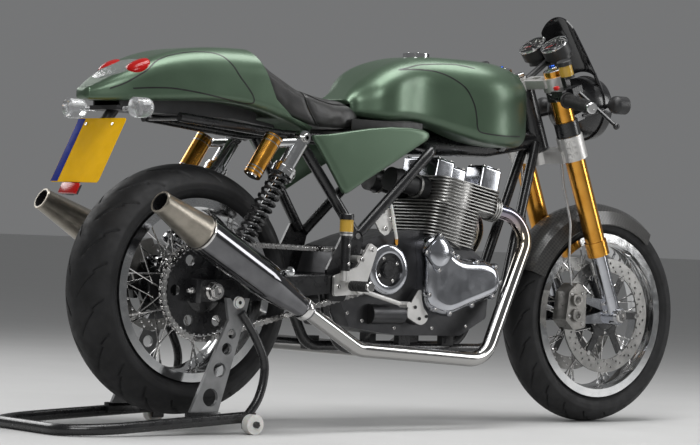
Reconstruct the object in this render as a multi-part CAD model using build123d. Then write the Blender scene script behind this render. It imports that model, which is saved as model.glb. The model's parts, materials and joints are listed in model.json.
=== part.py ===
"""Parallel-twin cafe racer motorcycle on its rear paddock stand.

Frame: +X forward, +Y to the rider's left, +Z up, the floor at Z = 0.
Every shape is drawn with X measured from the rear axle, and the whole is
moved to the middle of its outline when it is written.
"""
from build123d import *
import math
import os

# Wheels and stance
WHEELBASE = 1420.0
FRONT_TYRE_R = 300.0
FRONT_TYRE_HALF = 60.0
FRONT_RIM_HALF = 52.0
FRONT_HUB_HALF = 74.0
REAR_TYRE_R = 315.0
REAR_TYRE_HALF = 90.0
REAR_RIM_HALF = 77.0
REAR_HUB_HALF = 114.0
RIM_SEAT_R = 218.0
RIM_LIP_H = 12.0
RIM_WELL_DEPTH = 19.0
RIM_FLANGE_R = RIM_SEAT_R + RIM_LIP_H
RIM_WELL_R = RIM_SEAT_R - RIM_WELL_DEPTH
FLANGE_T = 7.0
REAR_LIFT = 36.0
REAR_AXLE_Z = REAR_TYRE_R + REAR_LIFT
FRONT_AXLE_Z = FRONT_TYRE_R
AXLE_R = 12.0
AXLE_BORE_R = 8.5
SPOKE_R = 2.0
SPOKES_PER_SIDE = 18
SPOKE_SWEEP = 34.0

# Fits
RUN_FIT = 0.05
CLAMP_FIT = 0.1
SEAT_GAP = 0.3

# Steering, s is measured up the fork legs from the front axle
RAKE = 21.6
FORK_OFFSET = 32.0
LEG_Y = 105.0
FOOT_HALF = 22.0
STANCHION_R = 21.5
OUTER_TUBE_R = 28.0
COLLAR_R = 31.0
COLLAR_L = 42.0
OUTER_TUBE_LOW = 183.0
OUTER_TUBE_TOP = 722.0
STANCHION_LAP = 45.0
CLAMP_WALL = 9.0
LOWER_YOKE_S = 466.0
LOWER_YOKE_T = 34.0
LOWER_CLAMP_L = 68.0
UPPER_YOKE_S = 682.0
UPPER_YOKE_T = 24.0
YOKE_GAP = 4.0
HEAD_TUBE_R = 32.0
STEM_R = 14.0
STEM_BORE_R = 9.0
STEM_BORE_L = 50.0

# Bars, given on the left side in fork coordinates
BAR_R = 11.0
GRIP_R = 17.0
BAR_ROOT = (-36.0, 128.0, 658.0)
BAR_END = (-97.0, 330.0, 644.0)
LEVER_ROOT = (-12.0, 198.0, 664.0)
LEVER_END = (-20.0, 322.0, 566.0)
CLIP_ON_S = 640.0

# Brakes and final drive
FRONT_DISC_R = 160.0
FRONT_DISC_Y = 68.5
DISC_T = 5.0
REAR_DISC_R = 110.0
REAR_DISC_Y = 104.0
CHAIN_Y = -106.0
CHAIN_PITCH = 15.875
REAR_TEETH = 48
FRONT_TEETH = 17
CHAIN_PLATE_H = 14.0
CHAIN_PLATE_T = 3.0
CHAIN_GAP = 8.0
SPROCKET_T = 6.0
SPROCKET_CLEAR = 2.0
OUTPUT_SHAFT = (572.0, 415.0)

# Frame tubes
SPINE_R = 27.0
TUBE_R = 14.0
RAIL_R = 12.0
CRADLE_Y = 72.0
CRADLE_Z = 206.0
STAY_Y = 116.0
PLATE_IN = 116.0
PLATE_OUT = 124.0

# Swing arm and shocks
PIVOT = (402.0, 378.0)
PIVOT_R = 20.0
ARM_IN = PLATE_OUT + SEAT_GAP
ARM_OUT = ARM_IN + 26.0
SHOCK_TOP = (265.0, 744.0)
SHOCK_LOW = (48.0, 414.0)
SHOCK_Y = 146.0
SHOCK_STUD_R = 7.0
EYE_HALF = 11.0
SPRING_R = 28.0
SPRING_WIRE_R = 5.0
SPRING_TURNS = 6

# Engine
CASE_HALF = 95.0
CASE_LOW = 242.0
COVER_OUT = 150.0
# x, z and radius of the corners of the timing cover
TIMING_LOBES = ((737, 468, 42), (905, 392, 54), (748, 346, 44))
LEAN = 11.0
BARREL_BASE = (806.0, 482.0)
FIN_T = 2.8
FIN_PITCH = 8.8
BARREL_FINS = 12
HEAD_FINS = 8
FIN_HALF_Y = 128.0
BORE_Y = 62.0
PORT_Y = 74.0
PORT_X = 152.0

# Exhaust, right side
PIPE_R = 20.0
HEADER_BEND = (1118.0, -88.0, 556.0)
HEADER_LOW = (866.0, -190.0, 182.0)
HEADER_RADII = [70.0, 95.0, 90.0]
MUFFLER_TIP = (-247.0, -262.0, 566.0)
MUFFLER_FRONT = (250.0, -214.0, 306.0)
TIP_R = 27.0
MUFFLER_R = 48.0

# Lamp, screen and dials, placed behind the front axle
LAMP_AT = (WHEELBASE - 90.0, 880.0)
LAMP_R = 86.0
SCREEN_AT = (WHEELBASE - 48.0, 980.0)
FRONT_INDICATOR_AT = (WHEELBASE - 58.0, 150.0, 887.0)
DIAL_AT = (WHEELBASE - 198.0, 1034.0)
DIAL_Y = 44.0
DIAL_R = 40.0
DIAL_TILT = -38.0

# Number plate
PLATE_AT = (-286.0, 688.0)
PLATE_TILT = 26.0
PLATE_SIZE = (210.0, 178.0)
PLATE_T = 2.0

# Paddock stand, left side
ROLLER_R = 25.0
ROLLER_X = 89.0
ROLLER_IN = 203.0
ROLLER_OUT = 227.0
ROLLER_PIN_R = 8.0
STAND_TUBE_R = 14.0
STAND_BACK = 430.0
STAND_Y = 188.0
HOOK_IN = 166.0
HOOK_OUT = 176.0
BOBBIN = (59.0, 325.0)
BOBBIN_R = 9.0

# Side stand
SIDE_PIVOT = (500.0, 118.0, 214.0)
SIDE_AXIS = (0.26, -0.9656, 0.0)
SIDE_PIN_R = 6.0
SIDE_LEG = 200.0

X_FRONT_END = WHEELBASE + FRONT_TYRE_R
X_REAR_END = -STAND_BACK - STAND_TUBE_R
CENTRE_SHIFT = Location((-(X_FRONT_END + X_REAR_END) / 2, 0, 0))
REAR_AXLE = Location((0, 0, REAR_AXLE_Z))
FRONT_AXLE = Location((WHEELBASE, 0, FRONT_AXLE_Z))
RAKE_SIN = math.sin(math.radians(RAKE))
RAKE_COS = math.cos(math.radians(RAKE))
FORK = Plane(
    origin=(WHEELBASE, 0, FRONT_AXLE_Z),
    x_dir=(RAKE_COS, 0, RAKE_SIN),
    z_dir=(-RAKE_SIN, 0, RAKE_COS),
)
LEAN_SIN = math.sin(math.radians(LEAN))
LEAN_COS = math.cos(math.radians(LEAN))
BARREL = Plane(
    origin=(BARREL_BASE[0], 0, BARREL_BASE[1]),
    x_dir=(LEAN_COS, 0, -LEAN_SIN),
    z_dir=(LEAN_SIN, 0, LEAN_COS),
)
BARREL_H = BARREL_FINS * FIN_PITCH
HEAD_TOP = BARREL_H + HEAD_FINS * FIN_PITCH
UP = (Align.CENTER, Align.CENTER, Align.MIN)


# Shared shapes
def rod(start, end, radius):
    """Round bar from one point to another."""
    a = Vector(*start)
    b = Vector(*end)
    return Plane(a, z_dir=(b - a).normalized()) * Cylinder(radius, (b - a).length, align=UP)


def cross_rod(x, z, low, high, radius):
    """Round bar lying across the machine."""
    return rod((x, low, z), (x, high, z), radius)


def pipe(points, radius, bends):
    """Round bar along straight runs joined by tangent arcs."""
    path = FilletPolyline(*points, radius=bends)
    return sweep(Plane(path @ 0, z_dir=path % 0) * Circle(radius), path=path)


def ring(low, high, inner, outer):
    """Ring about the lateral axis."""
    return spun([(low, inner), (low, outer), (high, outer), (high, inner)])


def spun(points):
    """Body of revolution about the lateral axis from (lateral, radius) points."""
    return revolve(Plane.YZ * make_face(Polyline(*points, close=True)), axis=Axis.Y)


def slab(points, low, high, corner=0.0):
    """Plate with an (x, z) outline, between two lateral places."""
    face = make_face(Polyline(*points, close=True))
    if corner:
        face = fillet(face.vertices(), corner)
    return Pos(0, high, 0) * extrude(Plane.XZ * face, high - low)


def wrap(first, second):
    """Flat outline stretched round two circles given as (x, z, radius)."""
    return make_hull([Pos(x, z) * Edge.make_circle(r) for x, z, r in (first, second)])


def lobes(circles, low, high):
    """Plate whose outline runs round a ring of circles."""
    face = wrap(circles[-1], circles[0])
    for first, second in zip(circles, circles[1:]):
        face = face + wrap(first, second)
    return Pos(0, high, 0) * extrude(Plane.XZ * face, high - low)


def pair(shape):
    """The shape and its mirror image as separate solids."""
    return Compound(children=[*shape.solids(), *mirror(shape, about=Plane.XZ).solids()])


def bundle(shapes):
    """Separate solids kept together."""
    return Compound(children=[solid for shape in shapes for solid in shape.solids()])


def section(x, low, high, half, top_corner, low_corner):
    """Rounded cross-section at one station along the machine."""
    face = Pos(0, (low + high) / 2) * Rectangle(2 * half, high - low)
    face = fillet(face.vertices().sort_by(Axis.Y)[2:], top_corner)
    face = fillet([v for v in face.vertices() if abs(v.Y - low) < 1e-6], low_corner)
    return Plane.YZ.offset(x) * face


def body_from(stations):
    """Loft through stations of x, low, high, half width, top corner, low corner."""
    return loft([section(*row) for row in stations])


# Wheels, drawn about the origin
def tyre(radius, half, rim_half):
    bead = rim_half - FLANGE_T - SEAT_GAP
    seat_r = RIM_SEAT_R + SEAT_GAP
    shoulder = radius - 0.46 * half - 6
    waist = RIM_FLANGE_R + 3
    edges = [
        ThreePointArc((-half, shoulder), (0, radius), (half, shoulder)),
        Line((-bead, seat_r), (bead, seat_r)),
    ]
    for side in (-1, 1):
        bulge = (side * (half - 3), (shoulder + waist) / 2 - 2)
        edges.append(ThreePointArc((side * half, shoulder), bulge, (side * bead, waist)))
        edges.append(Line((side * bead, waist), (side * bead, seat_r)))
    return revolve(Plane.YZ * make_face(edges), axis=Axis.Y)


def rim(half):
    inner = half - FLANGE_T
    lip = RIM_SEAT_R - 10
    return spun([
        (-half, lip), (-half, RIM_FLANGE_R), (-inner, RIM_FLANGE_R), (-inner, RIM_SEAT_R),
        (inner, RIM_SEAT_R), (inner, RIM_FLANGE_R), (half, RIM_FLANGE_R), (half, lip),
        (half - 14, lip - 2), (0.45 * half, RIM_WELL_R), (-0.45 * half, RIM_WELL_R), (-half + 14, lip - 2),
    ])


def spoked_hub(half, flange_y, flange_r, barrel_r, steps, wheel_rim):
    """Hub with two flanges, laced to the rim by crossed wire spokes."""
    bore = AXLE_R + RUN_FIT
    hub = ring(-half, half, bore, barrel_r)
    for low, high, radius in steps:
        hub = hub + ring(low, high, barrel_r - 1, radius)
    wires = []
    for side in (-1, 1):
        hub = hub + ring(side * flange_y - 3, side * flange_y + 3, barrel_r - 1, flange_r)
        for k in range(SPOKES_PER_SIDE):
            foot = math.radians(360 * k / SPOKES_PER_SIDE + 5 * side)
            head = foot + math.radians(SPOKE_SWEEP if k % 2 else -SPOKE_SWEEP)
            near = flange_r - 5
            far = RIM_WELL_R + 2
            wires.append(rod((near * math.cos(foot), side * flange_y, near * math.sin(foot)),
                             (far * math.cos(head), side * 9, far * math.sin(head)), SPOKE_R))
    return hub.fuse(*wires) - wheel_rim


def disc(radius, inner, boss_r, y):
    """Brake disc with a six-armed carrier."""
    low = y - DISC_T / 2
    high = y + DISC_T / 2
    rotor = ring(low, high, inner, radius) + ring(low, high, boss_r, boss_r + 16)
    reach = inner + 4 - (boss_r + 8)
    for k in range(6):
        arm = Pos(boss_r + 8 + reach / 2, y, 0) * Box(reach, DISC_T, 16)
        rotor = rotor + Rot(0, 60 * k, 0) * arm
    return rotor


def front_wheel():
    wheel_rim = rim(FRONT_RIM_HALF)
    seat = FRONT_DISC_Y + DISC_T / 2
    boss_r = 40.0
    steps = [(-seat, -seat + 14, boss_r - SEAT_GAP), (seat - 14, seat, boss_r - SEAT_GAP)]
    return {
        "front_tyre": FRONT_AXLE * tyre(FRONT_TYRE_R, FRONT_TYRE_HALF, FRONT_RIM_HALF),
        "front_rim": FRONT_AXLE * wheel_rim,
        "front_hub": FRONT_AXLE * spoked_hub(FRONT_HUB_HALF, 32, 50, 27, steps, wheel_rim),
        "front_discs": FRONT_AXLE * pair(disc(FRONT_DISC_R, 119, boss_r, FRONT_DISC_Y)),
    }


def pitch_r(teeth):
    return CHAIN_PITCH / (2 * math.sin(math.pi / teeth))


def rear_sprocket():
    """Toothed ring with round windows, seated on the hub."""
    tip = pitch_r(REAR_TEETH) - CHAIN_PLATE_H / 2 - SPROCKET_CLEAR
    half = SPROCKET_T / 2
    wheel = ring(CHAIN_Y - half, CHAIN_Y + half, 56, tip - 4)
    teeth = [Rot(0, 360 * k / REAR_TEETH, 0) * Pos(tip - 3, CHAIN_Y, 0) * Box(6, SPROCKET_T, 6)
             for k in range(REAR_TEETH)]
    windows = [Rot(0, 60 * k, 0) * Pos(86, 0, 0) * cross_rod(0, 0, CHAIN_Y - 20, CHAIN_Y + 20, 14)
               for k in range(6)]
    return wheel.fuse(*teeth).cut(*windows)


def rear_wheel():
    wheel_rim = rim(REAR_RIM_HALF)
    boss_r = 40.0
    seat = REAR_DISC_Y - DISC_T / 2
    face = CHAIN_Y + SPROCKET_T / 2 + SEAT_GAP
    steps = [(face - SPROCKET_T, face, 56 - SEAT_GAP), (face, face + 14, 70),
             (seat - 14, seat - SEAT_GAP, 56), (seat - 1, seat + DISC_T, boss_r - SEAT_GAP)]
    return {
        "rear_tyre": REAR_AXLE * tyre(REAR_TYRE_R, REAR_TYRE_HALF, REAR_RIM_HALF),
        "rear_rim": REAR_AXLE * wheel_rim,
        "rear_hub": REAR_AXLE * spoked_hub(REAR_HUB_HALF, 44, 58, 32, steps, wheel_rim),
        "rear_sprocket": REAR_AXLE * rear_sprocket(),
        "rear_disc": REAR_AXLE * disc(REAR_DISC_R, 78, boss_r, REAR_DISC_Y),
    }


# Front end, drawn in fork coordinates: x ahead of the legs, y left, z up the legs
def fork_legs():
    outer = Cylinder(OUTER_TUBE_R, OUTER_TUBE_TOP - OUTER_TUBE_LOW, align=UP)
    outer = outer + Cylinder(COLLAR_R, COLLAR_L, align=UP)
    outer = outer - Cylinder(STANCHION_R + SEAT_GAP, STANCHION_LAP + SEAT_GAP, align=UP)
    outer = Pos(0, LEG_Y, OUTER_TUBE_LOW) * outer
    lower = Pos(0, LEG_Y, 0) * Cylinder(STANCHION_R, OUTER_TUBE_LOW + STANCHION_LAP, align=UP)
    lower = lower + cross_rod(0, 0, LEG_Y - FOOT_HALF, LEG_Y + FOOT_HALF, 25)
    lower = lower + Pos(0, LEG_Y, 0) * Cylinder(FOOT_HALF, 62, align=UP)
    arms = slab([(0, -20), (-113.7, -22), (-113.7, -4), (-40, 14), (-113.7, 36), (-113.7, 52), (0, 44)],
                LEG_Y - 13, LEG_Y - 3)
    lower = lower + Rot(0, RAKE, 0) * arms
    lower = lower - cross_rod(0, 0, 0, 2 * LEG_Y, AXLE_R + CLAMP_FIT)
    end = LEG_Y + FOOT_HALF
    inner = LEG_Y - FOOT_HALF
    axle = cross_rod(0, 0, -end - 8, end + 8, AXLE_R)
    for side in (-1, 1):
        axle = axle + ring(side * (end + 4) - 3.5, side * (end + 4) + 4, AXLE_R - 1, 19)
        mid = side * (inner + FRONT_HUB_HALF) / 2
        reach = (inner - FRONT_HUB_HALF) / 2 - SEAT_GAP
        axle = axle + ring(mid - reach, mid + reach, AXLE_R - 1, 18)
    axle = axle - cross_rod(0, 0, -2 * end, 2 * end, AXLE_BORE_R)
    return {
        "fork_outer_tubes": FORK * pair(outer),
        "fork_lowers": FORK * pair(lower),
        "front_axle": FORK * axle,
    }


def yokes():
    """Lower and upper yokes on one stem."""
    clamp = OUTER_TUBE_R + CLAMP_WALL
    stem_x = -FORK_OFFSET
    shape = Pos(stem_x, 0, LOWER_YOKE_S) * Cylinder(33, LOWER_YOKE_T, align=UP)
    shape = shape + Pos(-22, 0, LOWER_YOKE_S) * Box(44, 2 * LEG_Y, LOWER_YOKE_T, align=UP)
    shape = shape + Pos(stem_x, 0, LOWER_YOKE_S) * Cylinder(STEM_R, UPPER_YOKE_S - LOWER_YOKE_S + 2, align=UP)
    shape = shape + Pos(stem_x, 0, UPPER_YOKE_S) * Cylinder(30, UPPER_YOKE_T, align=UP)
    shape = shape + Pos(-20, 0, UPPER_YOKE_S) * Box(46, 2 * LEG_Y, UPPER_YOKE_T, align=UP)
    shape = shape + Pos(stem_x, 0, UPPER_YOKE_S) * Cylinder(16, UPPER_YOKE_T + 10, align=UP)
    bores = [Pos(stem_x, 0, LOWER_YOKE_S) * Cylinder(STEM_BORE_R, STEM_BORE_L, align=UP)]
    for side in (-1, 1):
        shape = shape + Pos(0, side * LEG_Y, LOWER_YOKE_S) * Cylinder(clamp, LOWER_CLAMP_L, align=UP)
        shape = shape + Pos(0, side * LEG_Y, UPPER_YOKE_S - 14) * Cylinder(clamp, UPPER_YOKE_T + 14, align=UP)
        bores.append(Pos(0, side * LEG_Y, 0) * Cylinder(OUTER_TUBE_R + CLAMP_FIT, 2 * OUTER_TUBE_TOP))
        bores.append(Pos(-18, side * (LEG_Y / 2 - 4), UPPER_YOKE_S) * Box(20, 30, 4 * UPPER_YOKE_T))
    return FORK * shape.cut(*bores)


def front_calipers():
    """Four-piston calipers behind the legs, straddling the discs."""
    body = slab([(-188, -12), (-178, 66), (-146, 92), (-114, 70), (-114, -32), (-158, -40)], 56, LEG_Y + 6, 8)
    for z in (2, 44):
        body = body + cross_rod(-150, z, LEG_Y + 4, LEG_Y + 13, 17)
    slot = ring(FRONT_DISC_Y - 8, FRONT_DISC_Y + 8, 20, FRONT_DISC_R + 8)
    return FRONT_AXLE * pair(body - slot)


def front_fender():
    """Curved mudguard with side tabs to the legs."""
    inner = FRONT_TYRE_R + 6
    half = FRONT_TYRE_HALF + 7
    # lateral place and drop below the crown of the inside of the sheet
    inside = [(0, 0), (30, 6), (54, 22), (half, 58)]
    left = [(y, inner + 6 - drop) for y, drop in inside]
    under = [(-y, r) for y, r in reversed(left)] + left[1:]
    over = [(y * 1.045, r + 3) for y, r in reversed(under)]
    arc = revolve(Plane.YZ * make_face(Polyline(*under, *over, close=True)), axis=Axis.Y, revolution_arc=104)
    guard = Rot(0, -66, 0) * arc
    tab_in = half + 0.5
    tab_out = LEG_Y - OUTER_TUBE_R - SEAT_GAP
    tabs = [Rot(0, -RAKE, 0) * Pos(0, side * (tab_in + tab_out) / 2, 268) * Box(24, tab_out - tab_in, 34)
            for side in (-1, 1)]
    return FRONT_AXLE * guard.fuse(*tabs)


def bars():
    """Clip-on bars with end weights, and their grips."""
    root = Vector(*BAR_ROOT)
    along = (Vector(*BAR_END) - root).normalized()
    length = (Vector(*BAR_END) - root).length

    def at(distance):
        return tuple(root + along * distance)

    bar = Pos(0, LEG_Y, CLIP_ON_S) * Cylinder(OUTER_TUBE_R + 6, 26, align=UP)
    bar = bar + Pos(-24, LEG_Y + 14, CLIP_ON_S + 14) * Box(36, 30, 22)
    bar = bar + rod(at(-16), at(length - 5), BAR_R) + rod(at(length - 5.7), at(length), BAR_R + 3)
    bar = bar - Pos(0, LEG_Y, 0) * Cylinder(OUTER_TUBE_R + CLAMP_FIT, 2 * OUTER_TUBE_TOP)
    clamp = Cylinder(OUTER_TUBE_R + CLAMP_WALL + SEAT_GAP, UPPER_YOKE_T + 30, align=UP)
    bar = bar - Pos(0, LEG_Y, UPPER_YOKE_S - 14 - 2 * SEAT_GAP) * clamp
    grip = rod(at(78), at(length - 6), GRIP_R) + rod(at(72), at(79), GRIP_R + 5)
    grip = grip - rod(at(0), at(length + 20), BAR_R + CLAMP_FIT)
    return {"handlebars": FORK * pair(bar), "grips": FORK * pair(grip)}


def hand_controls():
    """Lever perches with reservoirs and levers."""
    body = Pos(-46, 172, 672) * Box(40, 44, 18) + Pos(-20, 192, 670) * Box(36, 30, 20)
    body = body + Pos(-22, 170, 690) * Box(16, 16, 40) + Pos(-10, 168, 704) * Cylinder(18, 46, align=UP)
    body = body + rod(LEVER_ROOT, LEVER_END, 5.5) + Pos(*LEVER_END) * Sphere(9)
    body = body - rod(BAR_ROOT, BAR_END, BAR_R + CLAMP_FIT)
    return FORK * pair(body)


def instruments(yoke):
    """Two dials on a bracket that stands on the upper yoke."""
    place = Pos(DIAL_AT[0], 0, DIAL_AT[1]) * Rot(0, DIAL_TILT, 0)
    shape = place * Pos(0, 0, -32) * Box(56, 124, 6)
    foot = FORK.from_local_coords(Vector(-8, 0, UPPER_YOKE_S + UPPER_YOKE_T - 5))
    shape = shape + rod((DIAL_AT[0] + 18, 0, DIAL_AT[1] - 22), (foot.X, 0, foot.Z), 9)
    for side in (-1, 1):
        cup = Cylinder(DIAL_R, 30) + Pos(0, 0, -22) * Cylinder(DIAL_R - 8, 16)
        shape = shape + place * Pos(0, side * DIAL_Y, 0) * cup
    return shape - yoke


def flyscreen():
    """Small curved screen above the lamp."""
    base = (SCREEN_AT[0], 0, SCREEN_AT[1])
    rise = (-0.594, 0, 0.804)
    lead = (0.804, 0, 0.594)
    band = make_face([
        ThreePointArc((-106, 56), (0, 0), (106, 56)), Line((106, 56), (106, 60)),
        ThreePointArc((106, 60), (0, 4), (-106, 60)), Line((-106, 60), (-106, 56)),
    ])
    sheet = extrude(Plane(base, x_dir=(0, 1, 0), z_dir=rise) * band, 220, both=True)
    outline = make_face([
        ThreePointArc((-104, -34), (0, 6), (104, -34)), Line((104, -34), (68, 150)),
        ThreePointArc((68, 150), (0, 186), (-68, 150)), Line((-68, 150), (-104, -34)),
    ])
    keep = extrude(Plane(base, x_dir=(0, 1, 0), z_dir=lead) * outline, 300, both=True)
    return sheet & keep


def headlamp(screen):
    """Round bowl on a bracket between the legs, and its lens."""
    x, z = LAMP_AT
    profile = make_face([
        Line((-70, 0), (70, 0)), Line((70, 0), (70, LAMP_R - 4)), Line((70, LAMP_R - 4), (62, LAMP_R)),
        Line((62, LAMP_R), (50, LAMP_R)), ThreePointArc((50, LAMP_R), (-28, 0.79 * LAMP_R), (-70, 20)),
        Line((-70, 20), (-70, 0)),
    ])
    bowl = Pos(x, 0, z) * revolve(Plane.XZ * profile, axis=Axis.X)
    lens_r = LAMP_R - 9
    bowl = bowl - rod((x + 60, 0, z), (x + 80, 0, z), lens_r)
    lens = rod((x + 60 + SEAT_GAP, 0, z), (x + 76, 0, z), lens_r - SEAT_GAP)
    hoop_x = x + 44
    bowl = bowl + (Pos(hoop_x, 0, z) * Rot(0, 0, 90) * ring(-3, 3, LAMP_R - 6, LAMP_R + 6))
    leg_bore = Pos(0, LEG_Y, 0) * Cylinder(OUTER_TUBE_R + CLAMP_FIT, 2 * OUTER_TUBE_TOP)
    for side in (-1, 1):
        clamp = Pos(0, side * LEG_Y, 536) * Cylinder(OUTER_TUBE_R + 6, 40, align=UP)
        clamp = clamp + Pos(50, side * (LEG_Y - 14), 566) * Box(64, 6, 20)
        clamp = clamp - (leg_bore if side > 0 else mirror(leg_bore, about=Plane.XZ))
        start = FORK.from_local_coords(Vector(76, side * (LEG_Y - 14), 566))
        bowl = bowl + FORK * clamp
        bowl = bowl + rod((start.X, start.Y, start.Z), (hoop_x, side * (LAMP_R + 2), z - 4), 6)
        bowl = bowl + rod((hoop_x, side * 58, z + 66), (hoop_x - 20, side * 60, z + 96), 5)
    return bowl - screen, lens


def indicator(x, y, z, round_end, stalk_x, stalk_y):
    """Bullet-shaped indicator on a stalk."""
    pod = rod((x - 26, y, z), (x + 26, y, z), 25)
    ends = pod.edges().filter_by(GeomType.CIRCLE).sort_by(Axis.X)
    pod = fillet([ends[round_end]], 20)
    return pod + rod((x, y - 18, z), (stalk_x, stalk_y, z - 2), 6)


def brake_hoses():
    """Front brake lines from the lower yoke down to the calipers."""
    route = [(-30, 82, LOWER_YOKE_S + 4), (-46, 84, 400), (-62, 94, 300), (-104, 96, 200), (-112, 92, 130)]
    return pair(pipe(route, 3.5, [90, 120, 60]))


def front_end():
    nodes = fork_legs()
    nodes.update(bars())
    yoke = yokes()
    calipers = front_calipers()
    screen = flyscreen()
    bowl, lens = headlamp(screen)
    nodes["yokes"] = yoke
    nodes["front_calipers"] = calipers
    nodes["front_fender"] = front_fender()
    nodes["hand_controls"] = hand_controls()
    nodes["instruments"] = instruments(yoke)
    nodes["flyscreen"] = screen
    nodes["headlamp"] = bowl
    nodes["headlamp_lens"] = lens
    pod = indicator(*FRONT_INDICATOR_AT, 0, LAMP_AT[0] + 44, LAMP_R + 4)
    nodes["front_indicators"] = pair(pod - bowl)
    nodes["brake_hoses"] = FORK * brake_hoses() - yoke - calipers
    return nodes


# Chassis
def frame():
    """Steering head, spine and tail rails in one; a cradle and stays each side."""
    head_low = LOWER_YOKE_S + LOWER_YOKE_T + YOKE_GAP
    head_high = UPPER_YOKE_S - YOKE_GAP
    head = FORK * (Pos(-FORK_OFFSET, 0, head_low) * Cylinder(HEAD_TUBE_R, head_high - head_low, align=UP))
    bore = FORK * (Pos(-FORK_OFFSET, 0, 0) * Cylinder(STEM_R + RUN_FIT, 2 * head_high))
    neck = FORK.from_local_coords(Vector(-FORK_OFFSET, 0, head_low + 34))
    backbone = [(neck.X, 0, neck.Z), (1010, 0, 752), (640, 0, 748), (520, 0, 752)]
    spine = head + pipe(backbone, SPINE_R, [160, 160])
    for side in (-1, 1):
        rail = [(560, side * 18, 752), (470, side * 84, 748), (240, side * 88, 752), (-70, side * 78, 780)]
        spine = spine + pipe(rail, RAIL_R, [70, 160])
        spine = spine + rod((SHOCK_TOP[0], side * 84, 750), (SHOCK_TOP[0], side * 100, SHOCK_TOP[1]), 10)
        spine = spine + cross_rod(*SHOCK_TOP, side * 92, side * (SHOCK_Y + EYE_HALF + 6), SHOCK_STUD_R)
        for x in (1040, 620):
            spine = spine + cross_rod(x, 754, 0, side * 40.7, 10)
    spine = spine + cross_rod(-60, 778, -80, 80, 6.7) - bore
    pivot = cross_rod(*PIVOT, -200, 200, PIVOT_R + CLAMP_FIT)
    down = (neck.X - 16, 22, neck.Z - 14)
    cradle = pipe([down, (1036, 60, 330), (1008, CRADLE_Y, CRADLE_Z), (470, CRADLE_Y, CRADLE_Z),
                   (418, CRADLE_Y, 300), (406, CRADLE_Y, PIVOT[1] - 8)], TUBE_R, [180, 80, 60, 60])
    mount_h = CASE_LOW - CRADLE_Z - SEAT_GAP
    for x in (680, 830):
        cradle = cradle + Pos(x, CRADLE_Y, CRADLE_Z) * Box(40, 20, mount_h, align=UP)
    cradle = cradle - spine - pivot
    lug = slab([(480, 196), (520, 196), (520, 232), (480, 232)], CRADLE_Y + 8, 106.5)
    axis = Vector(*SIDE_AXIS)
    pin = rod(tuple(Vector(*SIDE_PIVOT) + axis * 24), tuple(Vector(*SIDE_PIVOT) - axis * 9), SIDE_PIN_R)
    stays = pipe([(742, 18, 750), (728, 112, 735), (482, STAY_Y, 506)], TUBE_R, [24])
    stays = stays + rod((292, 90, 746), (466, STAY_Y, 512), TUBE_R)
    stays = stays + slab([(440, 530), (500, 520), (470, 400), (436, 330), (388, 330), (376, 410)],
                         PLATE_IN, PLATE_OUT, 8)
    stays = stays - spine - pivot
    return {
        "frame_spine": spine,
        "frame_cradles": bundle([mirror(cradle, about=Plane.XZ), cradle + lug + pin]),
        "frame_stays": pair(stays),
    }


def gearbox_cover():
    """Round cover over the output sprocket, stood off the case."""
    x, z = OUTPUT_SHAFT
    cover = cross_rod(x, z, -140, -118, 66)
    cover = fillet(cover.edges().filter_by(GeomType.CIRCLE).sort_by(Axis.Y)[:1], 8)
    cover = cover - cross_rod(x, z, -150, -132, 44) + cross_rod(x, z, -138, -120, 22)
    post = Pos(x + 59, -107, z) * Box(12, 24, 56)
    return cover + post


def crankcase():
    """Cases with the sprocket cover, output sprocket, oil pump and starter."""
    case = slab([(448, 330), (480, 262), (640, CASE_LOW), (860, CASE_LOW), (952, 290), (962, 430), (900, 470),
                 (730, 520), (640, 520), (560, 500), (470, 470), (448, 400)], -CASE_HALF, CASE_HALF, 14)
    pump = lobes([(694, 300, 30), (702, 350, 16), (664, 300, 16)], -CASE_HALF - 26, -CASE_HALF + 2)
    around = [(x, z, radius + SEAT_GAP) for x, z, radius in TIMING_LOBES]
    case = case + (pump - lobes(around, -COVER_OUT, -CASE_HALF))
    case = case + rod((540, -CASE_HALF - 4, 298), (650, -CASE_HALF - 4, 298), 26)
    root = pitch_r(FRONT_TEETH) - CHAIN_PLATE_H / 2 - SEAT_GAP
    half = CHAIN_GAP / 2 + CHAIN_PLATE_T
    case = case + cross_rod(*OUTPUT_SHAFT, CHAIN_Y - half, CHAIN_Y + half, root)
    case = case + cross_rod(*OUTPUT_SHAFT, CHAIN_Y - half - 6, -CASE_HALF + 2, 14)
    return case + gearbox_cover()


def side_covers():
    """Polished timing cover on the right and primary cover on the left."""
    timing = lobes(TIMING_LOBES, -COVER_OUT, -CASE_HALF - SEAT_GAP)
    timing = fillet(timing.faces().sort_by(Axis.Y)[0].edges(), 14)
    timing = timing + cross_rod(737, 468, -COVER_OUT - 7, -COVER_OUT + 1, 32)
    primary = lobes([(560, 400, 86), (850, 388, 74)], CASE_HALF + SEAT_GAP, COVER_OUT)
    primary = fillet(primary.faces().sort_by(Axis.Y)[-1].edges(), 16)
    return timing, primary


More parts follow.
